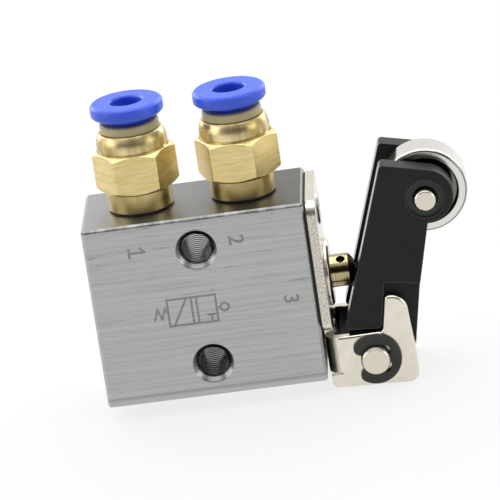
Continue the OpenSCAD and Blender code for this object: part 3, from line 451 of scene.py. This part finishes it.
def plated_sheet(name, dark, light, sheared, inside, towards_block):
    """Plated sheet: dull pitted sheared edges, painted shade between the ears and a painted dark reflection
    on the bend by the block.
    """
    finish, tree, shader = new_finish(name, metallic=1.0)
    outward = magnitude(tree, places(tree)["Y"])
    on_edge = spread(tree, outward, *SHEARED_EDGE)
    # Painted shade: the sheet between the ears is painted near black
    between = times(tree, spread(tree, outward, *INSIDE_EARS, 1.0, 0.0),
                    spread(tree, places(tree)["X"], *PAST_PLATE))
    # Painted dark reflection on the bend beside the block
    leftward = times(tree, spread(tree, facing(tree)["X"], -0.12, -0.5),
                     spread(tree, places(tree)["X"], *BEFORE_EAR, 1.0, 0.0))
    on_bend = times(tree, leftward, spread(tree, places(tree)["Z"], *ABOVE_SLIT))
    marks = use_group(tree, tool_marks, {"Coarse": 0.25}, millimetres(tree, (0.6, 0.6, 0.6)))
    pits = add(tree, "TexNoise", {"Scale": 4.5, "Detail": 3.0, "Roughness": 0.7})
    tree.links.new(millimetres(tree), pits.inputs["Vector"])
    pitted = spread(tree, pits.outputs["Fac"], 0.4, 0.62)
    tone = blend(tree, on_edge, blend(tree, marks.outputs["Mask"], dark, light),
                  blend(tree, pitted, sheared, light))
    tone = blend(tree, on_bend, blend(tree, between, tone, inside), towards_block)
    tree.links.new(tone, shader.inputs["Base Color"])
    relief = blend(tree, on_edge, marks.outputs["Mask"], pitted, "FLOAT")
    rough_and_bump(tree, shader, relief, 0.16, 0.26, 0.012)
    return finish


def turned_metal(name, dark, light, centre, across, fineness, smooth, rough, depth,
                 zones=(), bands=()):
    """Bare metal off the lathe: rings round its axis, perhaps with zones or bands painted darker as shade
    and dark reflections.

    A zone lies between two distances from the axis, a band between two heights.
    """
    finish, tree, shader = new_finish(name, metallic=1.0)
    marks = use_group(tree, lathe_marks, {"Across": across, "Fineness": fineness},
                      millimetres(tree, centre=centre))
    mask = marks.outputs["Mask"]
    tone = blend(tree, mask, dark, light)
    for inner, outer, zone_tone in zones:
        distance = around(tree, centre, across)
        in_zone = band(tree, distance, (inner, inner + ZONE_FADE), (outer, outer + ZONE_FADE))
        tone = blend(tree, in_zone, tone, zone_tone)
    for low, high, band_tone in bands:
        on_band = band(tree, places(tree)["Z"], (low, low + BAND_FADE), (high - BAND_FADE, high))
        tone = blend(tree, on_band, tone, band_tone)
    tree.links.new(tone, shader.inputs["Base Color"])
    rough_and_bump(tree, shader, mask, smooth, rough, depth)
    return finish

# %% Plastic and rubber
LEFT_FACING, GLOSS_SPREAD = (-0.5, -0.75), 1.2


def moulded(name, dark, light, edge, smooth, rough, depth, fineness=9.0, recess=None, shade=None,
            glossy_left=None, **constants):
    """Plastic or rubber from a mould: fine grain, slow mottle, edges painted lighter as highlights.

    It may have a recess painted lighter as a highlight, painted shade that grows with height and a glossier
    left side.
    """
    finish, tree, shader = new_finish(name, **constants)
    grain_marks = use_group(tree, moulded_grain, {"Fineness": fineness}, millimetres(tree))
    edges = use_group(tree, highlighted_edges)
    tone = blend(tree, grain_marks.outputs["Mottle"], dark, light)
    # A recess painted lighter: a painted highlight
    if recess:
        centre, outer, recess_tone = recess
        within = spread(tree, around(tree, centre, AROUND_Y), outer - RECESS_FADE, outer, 1.0, 0.0)
        tone = blend(tree, within, tone, recess_tone)
    # Edges painted lighter: a painted highlight
    tone = blend(tree, edges.outputs["Mask"], tone, edge)
    # Painted shade that grows with height
    if shade:
        low, high, shade_tone = shade
        tone = blend(tree, spread(tree, places(tree)["Z"], low, high), tone, shade_tone)
    tree.links.new(tone, shader.inputs["Base Color"])
    grain_height = grain_marks.outputs["Height"]
    rough_and_bump(tree, shader, grain_height, smooth, rough, depth)
    if glossy_left:
        leftward = spread(tree, facing(tree)["X"], *LEFT_FACING)
        two_roughnesses(tree, shader, leftward, grain_height, (smooth, rough),
                        (glossy_left, GLOSS_SPREAD * glossy_left))
    return finish

# %% The finishes of this valve
# A zone that starts at less than nothing takes in the axis, and one that ends far out has no outer limit
# The rims of the pins and the roller's dish and corner are painted darker: painted dark reflections and
# shade
FROM_AXIS, FAR_OUT, RIM_TONE = -1, 9, (0.16, 0.145, 0.12)
ROLLER_DISH, ROLLER_CORNER = (FROM_AXIS, 4.6, (0.17, 0.165, 0.15)), (5.45, 5.62, (0.16, 0.155, 0.14))
PIVOT_PIN_RIM, ROLLER_PIN_RIM = (1.78, FAR_OUT, RIM_TONE), (1.34, FAR_OUT, RIM_TONE)
# The lever's recess round the roller pin is painted lighter, a painted highlight
LEVER_RECESS = (ROLLER_AXIS, 2.6, (0.05, 0.05, 0.051))
# A band on the plunger painted dark: a painted reflection
PLUNGER_DARK_REFLECTION = (0.3, 1.35, (0.06, 0.047, 0.022))
# The sleeve is painted darker and bluer under the collar: painted shade with blue light from the collar
SLEEVE_SHADE = (24.75, 25.3, (0.05, 0.06, 0.2))

# Tones come first, dark and light. Roughness from and to, then the depth of the marks, come last.
finishes = {
    # The block's top tones are painted light and shade, its chamfer tones carry painted glints
    "body_aluminium": block_metal("brushed_aluminium", (0.4, 0.41, 0.4), (0.51, 0.52, 0.51),
                                  (0.37, 0.37, 0.37), (0.125, 0.125, 0.118), (0.2, 0.205, 0.2),
                                  (0.2, 0.2, 0.195), (0.37, 0.37, 0.365)),
    # Thread grooves, sides and the low hole are painted dark as shade
    "thread_aluminium": thread_metal("tapped_aluminium", (0.015, 0.015, 0.015), (0.6, 0.61, 0.6),
                                     NEAR_BLACK, (0.1, 0.1, 0.1)),
    "fitting_brass": fitting_metal("satin_brass", (0.4, 0.31, 0.125), (0.8, 0.67, 0.37),
                                   (0.61, 0.48, 0.19), (0.81, 0.67, 0.34)),
    "valve_brass": turned_metal("turned_brass", (0.27, 0.205, 0.085), (0.38, 0.295, 0.14),
                                (0, 0, 0), AROUND_X, 5.0, 0.13, 0.22, 0.002),
    "plunger_brass": turned_metal("plunger_brass", (0.36, 0.29, 0.15), (0.52, 0.44, 0.26),
                                  (0, 0, 0), AROUND_X, 5.0, 0.13, 0.22, 0.002,
                                  bands=(PLUNGER_DARK_REFLECTION,)),
    # Near black between the ears is painted shade; the darker bend is a painted dark reflection
    "bracket_nickel": plated_sheet("plated_sheet", (0.71, 0.67, 0.57), (0.8, 0.76, 0.66),
                                   (0.43, 0.4, 0.35), (0.035, 0.033, 0.03), (0.16, 0.15, 0.115)),
    "bush_nickel": turned_metal("plated_bush", (0.62, 0.6, 0.54), (0.78, 0.76, 0.7),
                                (0, 0, 0), AROUND_X, 5.0, 0.14, 0.26, 0.006),
    "roller_nickel": turned_metal("plated_roller", (0.71, 0.695, 0.655), (0.76, 0.745, 0.705),
                                  ROLLER_AXIS, AROUND_Y, 4.0, 0.11, 0.17, 0.001,
                                  zones=(ROLLER_DISH, ROLLER_CORNER)),
    "pin_steel": turned_metal("pin_steel", (0.68, 0.63, 0.53), (0.78, 0.73, 0.63),
                              PIVOT_AXIS, AROUND_Y, 4.5, 0.26, 0.36, 0.004,
                              zones=(PIVOT_PIN_RIM,)),
    "roller_pin_steel": turned_metal("roller_pin_steel", (0.68, 0.63, 0.53), (0.78, 0.73, 0.63),
                                     ROLLER_AXIS, AROUND_Y, 4.5, 0.26, 0.36, 0.004,
                                     zones=(ROLLER_PIN_RIM,)),
    "screw_steel": brushed_metal("zinc_screw", (0.42, 0.42, 0.4), (0.56, 0.56, 0.54),
                                 (0.8, 0.8, 0.8), 0.2, 0.36, 0.006),
    "spring_steel": brushed_metal("spring_wire", (0.4, 0.4, 0.4), (0.55, 0.55, 0.54),
                                  (2, 2, 2), 0.22, 0.36, 0.004),
    "clip_black": moulded("blackened_clip", (0.03, 0.0295, 0.028), (0.044, 0.043, 0.041),
                          (0.06, 0.06, 0.06), 0.42, 0.58, 0.01, 6.0, specular_ior_level=0.3),
    "lever_plastic": moulded("black_plastic", (0.006, 0.006, 0.0062), (0.0095, 0.0095, 0.0097),
                             (0.08, 0.08, 0.081), 0.38, 0.52, 0.008,
                             recess=LEVER_RECESS, glossy_left=0.14,
                             specular_ior_level=0.26),
    "collar_blue": moulded("blue_plastic", (0.028, 0.081, 0.51), (0.039, 0.106, 0.59),
                           (0.1, 0.185, 0.76), 0.3, 0.44, 0.006,
                           subsurface=0.8, light_reach=(0.15, 0.35, 1.0), reach_scale=3 * MM),
    "sleeve_beige": moulded("beige_plastic", (0.36, 0.305, 0.145), (0.43, 0.37, 0.19),
                            (0.5, 0.45, 0.27), 0.4, 0.55, 0.006, shade=SLEEVE_SHADE),
    "rubber_black": moulded("black_rubber", (0.006, 0.006, 0.006), (0.013, 0.013, 0.013),
                            (0.02, 0.02, 0.02), 0.6, 0.75, 0.006),
    "laser_mark": brushed_metal("laser_mark", (0.22, 0.22, 0.22), (0.34, 0.34, 0.34),
                                LINES_ALONG_X, 0.42, 0.6, 0.008, 0.16),
}
print("Finishes:", len(finishes))

# %% [markdown]
# ## Pieces from the CAD solids
# A machined or moulded part is never quite sharp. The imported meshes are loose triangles, so a copy is
# merged, flat areas are joined into whole faces and then every true edge is bevelled. The copy stands
# for the solid, rides on the same body and keeps its place.

# %% Piece helpers
WELD = 0.002 * MM
FLAT_WEIGHT = 90
# Angles in degrees: what counts as smooth, as flat and as an edge to round, on solids and on folded sheet
SMOOTH_BELOW, FLAT_BELOW, ROUND_ABOVE, SHEET_ROUND_ABOVE = 38, 0.6, 30, 40
# Ears of the bracket: width of the rim, steps in it, radius round the pin, edges that are collapsed
EAR_RIM, EAR_ROUNDS, PIN_HOLE, TINY_EDGE = 0.48, 4, 2.2, 0.06
BEND_MARGIN, SLIT_MARGIN, EAR_MARGIN = 0.02, 0.05, 0.1


def settle(name, shape, body, finish, stands_for=()):
    """Turns a bmesh into a finished piece that rides on a body."""
    mesh = bpy.data.meshes.new(name)
    shape.to_mesh(mesh)
    shape.free()
    mesh.materials.append(finishes[finish])
    mesh.shade_smooth()
    mesh.set_sharp_from_angle(angle=radians(SMOOTH_BELOW))
    piece = bpy.data.objects.new(name, mesh)
    bpy.context.scene.collection.objects.link(piece)
    flat_first = piece.modifiers.new("flat_faces_first", "WEIGHTED_NORMAL")
    flat_first.keep_sharp = True
    flat_first.weight = FLAT_WEIGHT
    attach(piece, body)
    if stands_for:
        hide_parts(*stands_for)
    return piece


def merged(node):
    """A copy of a CAD node with its loose triangles joined."""
    shape = bmesh.new()
    shape.from_mesh(frame["nodes"][node].data)
    bmesh.ops.remove_doubles(shape, verts=shape.verts, dist=WELD)
    return shape


def round_edges(shape, width, angle, rounds=2, chosen=None, hold_back=True):
    """Rounds the edges that turn by more than an angle, all of them or those that are chosen."""
    edges = [edge for edge in shape.edges if edge.is_manifold and edge.calc_face_angle() > radians(angle)
             and (chosen is None or chosen(edge))]
    bmesh.ops.bevel(shape, geom=edges, offset=width * MM, offset_type="OFFSET", affect="EDGES",
                    segments=rounds, profile=0.5, material=-1, clamp_overlap=hold_back)


def on_ear(edge):
    """Whether an edge is on the outline of a bracket ear, away from the pin hole, the slit and the bend."""
    middle = (edge.verts[0].co + edge.verts[1].co) / (2 * MM)
    from_pin = hypot(middle.x - PIVOT_AXIS[0], middle.z - PIVOT_AXIS[2])
    past_bend = middle.x > BEND_END + BEND_MARGIN or middle.z < SLIT_FOOT - SLIT_MARGIN
    return past_bend and abs(middle.y) > EAR_INNER - EAR_MARGIN and from_pin > PIN_HOLE


def softened(node, width):
    """A merged copy of a CAD node with its edges rounded, wider on the ears of the bracket."""
    shape = merged(node)
    bmesh.ops.dissolve_limit(shape, angle_limit=radians(FLAT_BELOW), verts=shape.verts, edges=shape.edges)
    if node == "bracket":
        tiny = [edge for edge in shape.edges if edge.calc_length() < TINY_EDGE * MM and on_ear(edge)]
        bmesh.ops.collapse(shape, edges=tiny)
        round_edges(shape, EAR_RIM, ROUND_ABOVE, rounds=EAR_ROUNDS, chosen=on_ear, hold_back=False)
        round_edges(shape, width, SHEET_ROUND_ABOVE, chosen=lambda edge: not on_ear(edge))
    else:
        round_edges(shape, width, ROUND_ABOVE)
    return shape

# %% Softened copies of the solids
# node: (finish, material slot, width of the rounded edge in millimetres)
softened_nodes = {
    "valve_body": ("body_aluminium", "body_aluminium", 0.03),
    "end_plug": ("valve_brass", "valve_brass", 0.06),
    "plunger": ("plunger_brass", "valve_brass", 0.05),
    "guide_bush": ("bush_nickel", "bracket_nickel", 0.06),
    "bracket": ("bracket_nickel", "bracket_nickel", 0.28),
    "bracket_screws": ("screw_steel", "screw_steel", 0.06),
    "lever": ("lever_plastic", "lever_plastic", 0.22),
    "pivot_pin": ("pin_steel", "pin_steel", 0.06),
    "pivot_clips": ("clip_black", "clip_black", 0.12),
    "roller": ("roller_nickel", "roller_nickel", 0.16),
    "roller_pin": ("roller_pin_steel", "pin_steel", 0.08),
    "supply_fitting": ("fitting_brass", "fitting_brass", 0.1),
    "outlet_fitting": ("fitting_brass", "fitting_brass", 0.1),
    "supply_sleeve": ("sleeve_beige", "sleeve_beige", 0.1),
    "outlet_sleeve": ("sleeve_beige", "sleeve_beige", 0.1),
    "supply_collar": ("collar_blue", "collar_blue", 0.13),
    "outlet_collar": ("collar_blue", "collar_blue", 0.13),
    "supply_washer": ("rubber_black", "rubber_black", 0.05),
    "outlet_washer": ("rubber_black", "rubber_black", 0.05),
}
body_of_node = {node: body for body, carried in frame["record"]["behaviour"]["bodies"].items()
                for node in carried}
for node, (finish, slot, width) in softened_nodes.items():
    settle(node + "_finished", softened(node, width), body_of_node[node], finish, (node,))
print("Softened copies:", len(softened_nodes))

# %% Solids that stay as they are, inside the valve
inner_nodes = {
    "poppet": "valve_brass", "poppet_disc": "rubber_black", "plunger_seal": "rubber_black",
    # bracket_gasket is a thin black sheet between plate and block, put there for the dark line of shade
    # along that joint
    "bush_seal": "rubber_black", "bracket_gasket": "rubber_black", "end_plug_seal": "rubber_black",
    "supply_tube_seal": "rubber_black", "outlet_tube_seal": "rubber_black",
    "supply_grip_ring": "spring_steel", "outlet_grip_ring": "spring_steel",
}
for node, finish in inner_nodes.items():
    solid = frame["nodes"][node]
    if not solid.material_slots:
        solid.data.materials.append(finishes[finish])
    for material_slot in solid.material_slots:
        material_slot.material = finishes[finish]
print("Inner solids with a finish:", len(inner_nodes))

# %% [markdown]
# ## Springs
# Each spring stands on a fixed seat at its left end and is pressed by a sliding piece at its right end.
# A merged copy of each spring, with a mesh of its own, stands for it and rides on the same body.

# %% Springs
for node, slide in (("poppet_spring", "poppet_slide"), ("plunger_spring", "plunger_slide")):
    made = settle(node + "_finished", merged(node), body_of_node[node], "spring_steel",
                  (node,))
    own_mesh(made)

# %% [markdown]
# ## Threads in the mounting holes
# The two holes through the block are tapped. A screw thread is one small triangle carried along a
# helix, and bmesh does exactly that when spin also moves the shape a little at each step.

# %% Threads
THREAD_PITCH, THREAD_DEPTH, STEPS_PER_TURN = 0.8, 0.2, 40
ROOT_HALF, CREST_HALF, THREAD_BURIED = 0.38, 0.15, 0.25
THREAD_START = 1.0


def thread(height):
    """A closed helical ridge inside the mounting hole at this height."""
    turns = int((BODY_THICKNESS - 2 * THREAD_START) / THREAD_PITCH)
    start = -turns * THREAD_PITCH / 2
    root, crest = MOUNT_BORE / 2 + THREAD_BURIED, MOUNT_BORE / 2 - THREAD_DEPTH
    shape = bmesh.new()
    corners = [shape.verts.new((r * MM, 0, (start + h) * MM)) for r, h in
               ((root, -ROOT_HALF), (crest, -CREST_HALF), (crest, CREST_HALF), (root, ROOT_HALF))]
    ring = shape.faces.new(corners)
    edges = list(ring.edges)
    bmesh.ops.delete(shape, geom=[ring], context="FACES_ONLY")
    bmesh.ops.spin(shape, geom=corners + edges, cent=(0, 0, 0), axis=(0, 0, 1),
                   dvec=(0, 0, THREAD_PITCH * MM / STEPS_PER_TURN), angle=2 * pi * turns,
                   steps=turns * STEPS_PER_TURN)
    bmesh.ops.holes_fill(shape, edges=shape.edges, sides=4)
    bmesh.ops.recalc_face_normals(shape, faces=shape.faces)
    bmesh.ops.rotate(shape, verts=shape.verts, cent=(0, 0, 0), matrix=Matrix.Rotation(pi / 2, 3, "X"))
    bmesh.ops.translate(shape, verts=shape.verts, vec=(0, 0, height * MM))
    return shape


for name, height in (("upper_mount_thread", MOUNT_SPACING / 2), ("lower_mount_thread", -MOUNT_SPACING / 2)):
    made = settle(name, thread(height), "base", "thread_aluminium")
    print(name, len(made.data.polygons), "faces")

# %% [markdown]
# ## Plain port numbers and the valve symbol
# Pneumatic ports carry numbers: 1 for supply, 2 for outlet and 3 for exhaust. They are marked with a
# laser, so each is a flat figure a hundredth of a millimetre proud. The symbol beside them is the
# common drawing of a three-port valve: two squares, a spring on one side and a roller on the other.

# %% Port numbers
MARK_HEIGHT = 0.012
FIGURE_SIZE, FIGURE_WEIGHT = 2.9, 0.04
PORT_FIGURES = {"2": (5.4, 8.9), "3": (11.6, -0.4)}


def port_number(figure, x, z):
    """A rounded figure that reads downwards, with its head towards the roller."""
    text = bpy.data.curves.new("figure", "FONT")
    text.body = figure
    text.size = FIGURE_SIZE * MM
    text.offset = FIGURE_WEIGHT * MM
    text.align_x = text.align_y = "CENTER"
    text.extrude = MARK_HEIGHT * MM
    carrier = bpy.data.objects.new("figure", text)
    bpy.context.scene.collection.objects.link(carrier)
    bpy.context.view_layer.update()
    evaluated = carrier.evaluated_get(bpy.context.evaluated_depsgraph_get())
    flat_figure = bpy.data.meshes.new_from_object(evaluated)
    bpy.data.objects.remove(carrier)
    shape = bmesh.new()
    shape.from_mesh(flat_figure)
    bmesh.ops.remove_doubles(shape, verts=shape.verts, dist=WELD)
    reading, head, outward = Vector((0, 0, -1)), Vector((1, 0, 0)), Vector((0, -1, 0))
    turn_to_face = Matrix((reading, head, outward)).transposed()
    bmesh.ops.rotate(shape, verts=shape.verts, cent=(0, 0, 0), matrix=turn_to_face)
    bmesh.ops.translate(shape, verts=shape.verts, vec=(x * MM, FRONT_FACE * MM, z * MM))
    return shape


for figure, (x, z) in PORT_FIGURES.items():
    settle("port_number_" + figure, port_number(figure, x, z), "base", "laser_mark")
print("Port numbers placed:", list(PORT_FIGURES))

# %% Strokes: the figure 1 and the valve symbol
# Places are (x, z) on the front face. Each stroke is a trace higher than the last, so none share a plane.
SYMBOL_STROKE, LIFT = 0.3, 0.0006
FIGURE_1 = [((-9.0, 8.8), (-6.9, 8.8)), ((-6.9, 8.8), (-7.45, 9.4)), ((-9.0, 9.35), (-9.0, 8.25))]
BOX_LEFT, BOX_MIDDLE, BOX_RIGHT, BOX_FOOT, BOX_HEAD = -5.0, -1.72, 1.56, -2.15, 1.6
SLANT_INSET, STRAIGHT_INSET = 0.6, 0.7
BLOCKED_INSET, BLOCKED_HEIGHT, BLOCKED_HALF = 0.8, 1.0, 0.45
SIGN_HEIGHT, SPRING_LEAD, SPRING_STEP, SPRING_SWING, SPRING_BENDS = -0.3, 0.4, 0.5, 0.7, 4
ROD_END, SIGN_RADIUS, SIGN_STEPS = 2.1, 0.55, 24

box = [(BOX_LEFT, BOX_FOOT), (BOX_RIGHT, BOX_FOOT), (BOX_RIGHT, BOX_HEAD), (BOX_LEFT, BOX_HEAD)]
straight_x = BOX_MIDDLE + STRAIGHT_INSET
blocked_x, blocked_z = BOX_RIGHT - BLOCKED_INSET, BOX_FOOT + BLOCKED_HEIGHT
spring = [(BOX_LEFT, SIGN_HEIGHT)] + [
    (BOX_LEFT - SPRING_LEAD - SPRING_STEP * turn, SIGN_HEIGHT + SPRING_SWING * (-1) ** turn)
    for turn in range(SPRING_BENDS)]
symbol_strokes = [
    *zip(box, box[1:] + box[:1]),
    ((BOX_MIDDLE, BOX_FOOT), (BOX_MIDDLE, BOX_HEAD)),
    ((BOX_LEFT + SLANT_INSET, BOX_FOOT), (BOX_MIDDLE - SLANT_INSET, BOX_HEAD)),
    ((straight_x, BOX_FOOT), (straight_x, BOX_HEAD)),
    ((blocked_x, BOX_FOOT), (blocked_x, blocked_z)),
    ((blocked_x - BLOCKED_HALF, blocked_z), (blocked_x + BLOCKED_HALF, blocked_z)),
    *zip(spring, spring[1:]),
    ((BOX_RIGHT, SIGN_HEIGHT), (ROD_END, SIGN_HEIGHT)),
]


def stroke(shape, start, end, lift):
    """Adds one straight line, a thin flat bar."""
    (x0, z0), (x1, z1) = start, end
    line = Vector((x1 - x0, 0, z1 - z0))
    middle = Matrix.Translation(Vector(((x0 + x1) / 2, FRONT_FACE - lift, (z0 + z1) / 2)) * MM)
    size = Matrix.Diagonal(((line.length + SYMBOL_STROKE) * MM, 2 * MARK_HEIGHT * MM, SYMBOL_STROKE * MM, 1))
    along_line = Matrix(((line.x, 0, -line.z, 0), (0, line.length, 0, 0), (line.z, 0, line.x, 0),
                         (0, 0, 0, line.length))) * (1 / line.length)
    bmesh.ops.create_cube(shape, size=1, matrix=middle @ along_line @ size)


def drawn(strokes):
    """A shape made of strokes."""
    shape = bmesh.new()
    for number, (start, end) in enumerate(strokes):
        stroke(shape, start, end, number * LIFT)
    return shape


settle("port_number_1", drawn(FIGURE_1), "base", "laser_mark")
symbol = drawn(symbol_strokes)
sign_x, half_stroke = ROD_END + SIGN_RADIUS, SYMBOL_STROKE / 2
corners = [symbol.verts.new(((sign_x + SIGN_RADIUS + across) * MM, (FRONT_FACE + along) * MM,
                             SIGN_HEIGHT * MM))
           for across, along in ((-half_stroke, -MARK_HEIGHT), (half_stroke, -MARK_HEIGHT),
                                 (half_stroke, MARK_HEIGHT), (-half_stroke, MARK_HEIGHT))]
section = symbol.faces.new(corners)
outline = list(section.edges)
bmesh.ops.delete(symbol, geom=[section], context="FACES_ONLY")
bmesh.ops.spin(symbol, geom=corners + outline, cent=Vector((sign_x, 0, SIGN_HEIGHT)) * MM,
               axis=(0, 1, 0), angle=2 * pi, steps=SIGN_STEPS, use_merge=True)
bmesh.ops.recalc_face_normals(symbol, faces=symbol.faces)
made = settle("valve_symbol", symbol, "base", "laser_mark")
print("Valve symbol:", len(made.data.polygons), "faces")

# %% [markdown]
# ## Floor, light and camera
# The photograph was taken in a light tent: white all round, brightest above. A pale floor, a pale
# world and broad lamps give the same. The camera stands a little over half a metre away with a long
# lens, turned slightly so that the valve leans in the frame.

# %% Floor and world
FLOOR_SIZE, FLOOR_GLOW, FLOOR_TONE, FLOOR_GAP = 6.0, 0.78, 0.09, 0.02
TENT_TONE = (1, 0.99, 0.975)
floor_shape = bmesh.new()
bmesh.ops.create_grid(floor_shape, x_segments=1, y_segments=1, size=FLOOR_SIZE / 2)
bmesh.ops.translate(floor_shape, verts=floor_shape.verts, vec=(0, 0, cad_box[0][2] - FLOOR_GAP * MM))
floor_mesh = bpy.data.meshes.new("floor")
floor_shape.to_mesh(floor_mesh)
floor_shape.free()
floor = bpy.data.objects.new("floor", floor_mesh)
bpy.context.scene.collection.objects.link(floor)
floor_finish, _, floor_shader = new_finish("pale_floor", roughness=0.8)
floor_shader.inputs["Base Color"].default_value = (FLOOR_TONE, FLOOR_TONE, FLOOR_TONE, 1)
floor_shader.inputs["Emission Color"].default_value = (1, 1, 1, 1)
floor_shader.inputs["Emission Strength"].default_value = FLOOR_GLOW
floor_mesh.materials.append(floor_finish)

scene = bpy.context.scene
world = bpy.data.worlds.new("light_tent")
scene.world = world
world.use_nodes = True
sky = world.node_tree
backdrop = sky.nodes["Background"]
direction = add(sky, "TexCoord")
parts = add(sky, "SeparateXYZ")
sky.links.new(direction.outputs["Generated"], parts.inputs["Vector"])
# Dim on the camera's side, bright behind the valve and brightest above it
from_front = spread(sky, parts.outputs["Y"], -0.75, 0.1, 0.14, 0.95)
from_above = spread(sky, parts.outputs["Z"], 0.45, 0.8, 0.0, 0.4)
both = add(sky, "Math", operation="ADD")
sky.links.new(from_front, both.inputs[0])
sky.links.new(from_above, both.inputs[1])
sky.links.new(both.outputs[0], backdrop.inputs["Strength"])
backdrop.inputs["Color"].default_value = (*TENT_TONE, 1)
print("Floor and light tent ready")

# %% Lamps and camera
# name: (place and size in metres, power in watts); every lamp faces the valve
softboxes = {
    "overhead": ((0.0, 0.05, 0.6), 0.7, 2.3),
    "back_left": ((-0.45, 0.5, 0.28), 0.45, 1.7),
    "back_right": ((0.45, 0.5, 0.28), 0.45, 1.7),
    "left_side": ((-0.6, -0.2, 0.25), 0.4, 1.2),
    "right_side": ((0.6, -0.25, 0.2), 0.3, 0.75),
}
for name, (place, size, power) in softboxes.items():
    lamp = bpy.data.lights.new(name, "AREA")
    lamp.size = size
    lamp.energy = power
    holder = bpy.data.objects.new(name, lamp)
    holder.location = place
    holder.rotation_euler = (-Vector(place)).to_track_quat("-Z", "Y").to_euler()
    scene.collection.objects.link(holder)

# The camera's turn, place and lens are those that fit the corners of the valve in the photograph
PHOTO_TURN = [radians(angle) for angle in (108.776, 3.501, -7.387)]
PHOTO_OFFSET = Vector((-5.93, 5.041, 611.969)) * MM
LENS = 324.0
SENSOR = 36.0
to_photo = Euler(PHOTO_TURN, "XYZ").to_matrix()
camera_data = bpy.data.cameras.new("camera")
camera_data.lens = LENS
camera_data.sensor_width = SENSOR
camera = bpy.data.objects.new("camera", camera_data)
axes = to_photo.transposed() @ Matrix.Diagonal((1, -1, -1))
camera.matrix_world = Matrix.Translation(-(to_photo.transposed() @ PHOTO_OFFSET)) @ axes.to_4x4()
scene.collection.objects.link(camera)
scene.camera = camera
scene.view_settings.view_transform = "Standard"
print("Camera at", [round(value, 4) for value in camera.location])
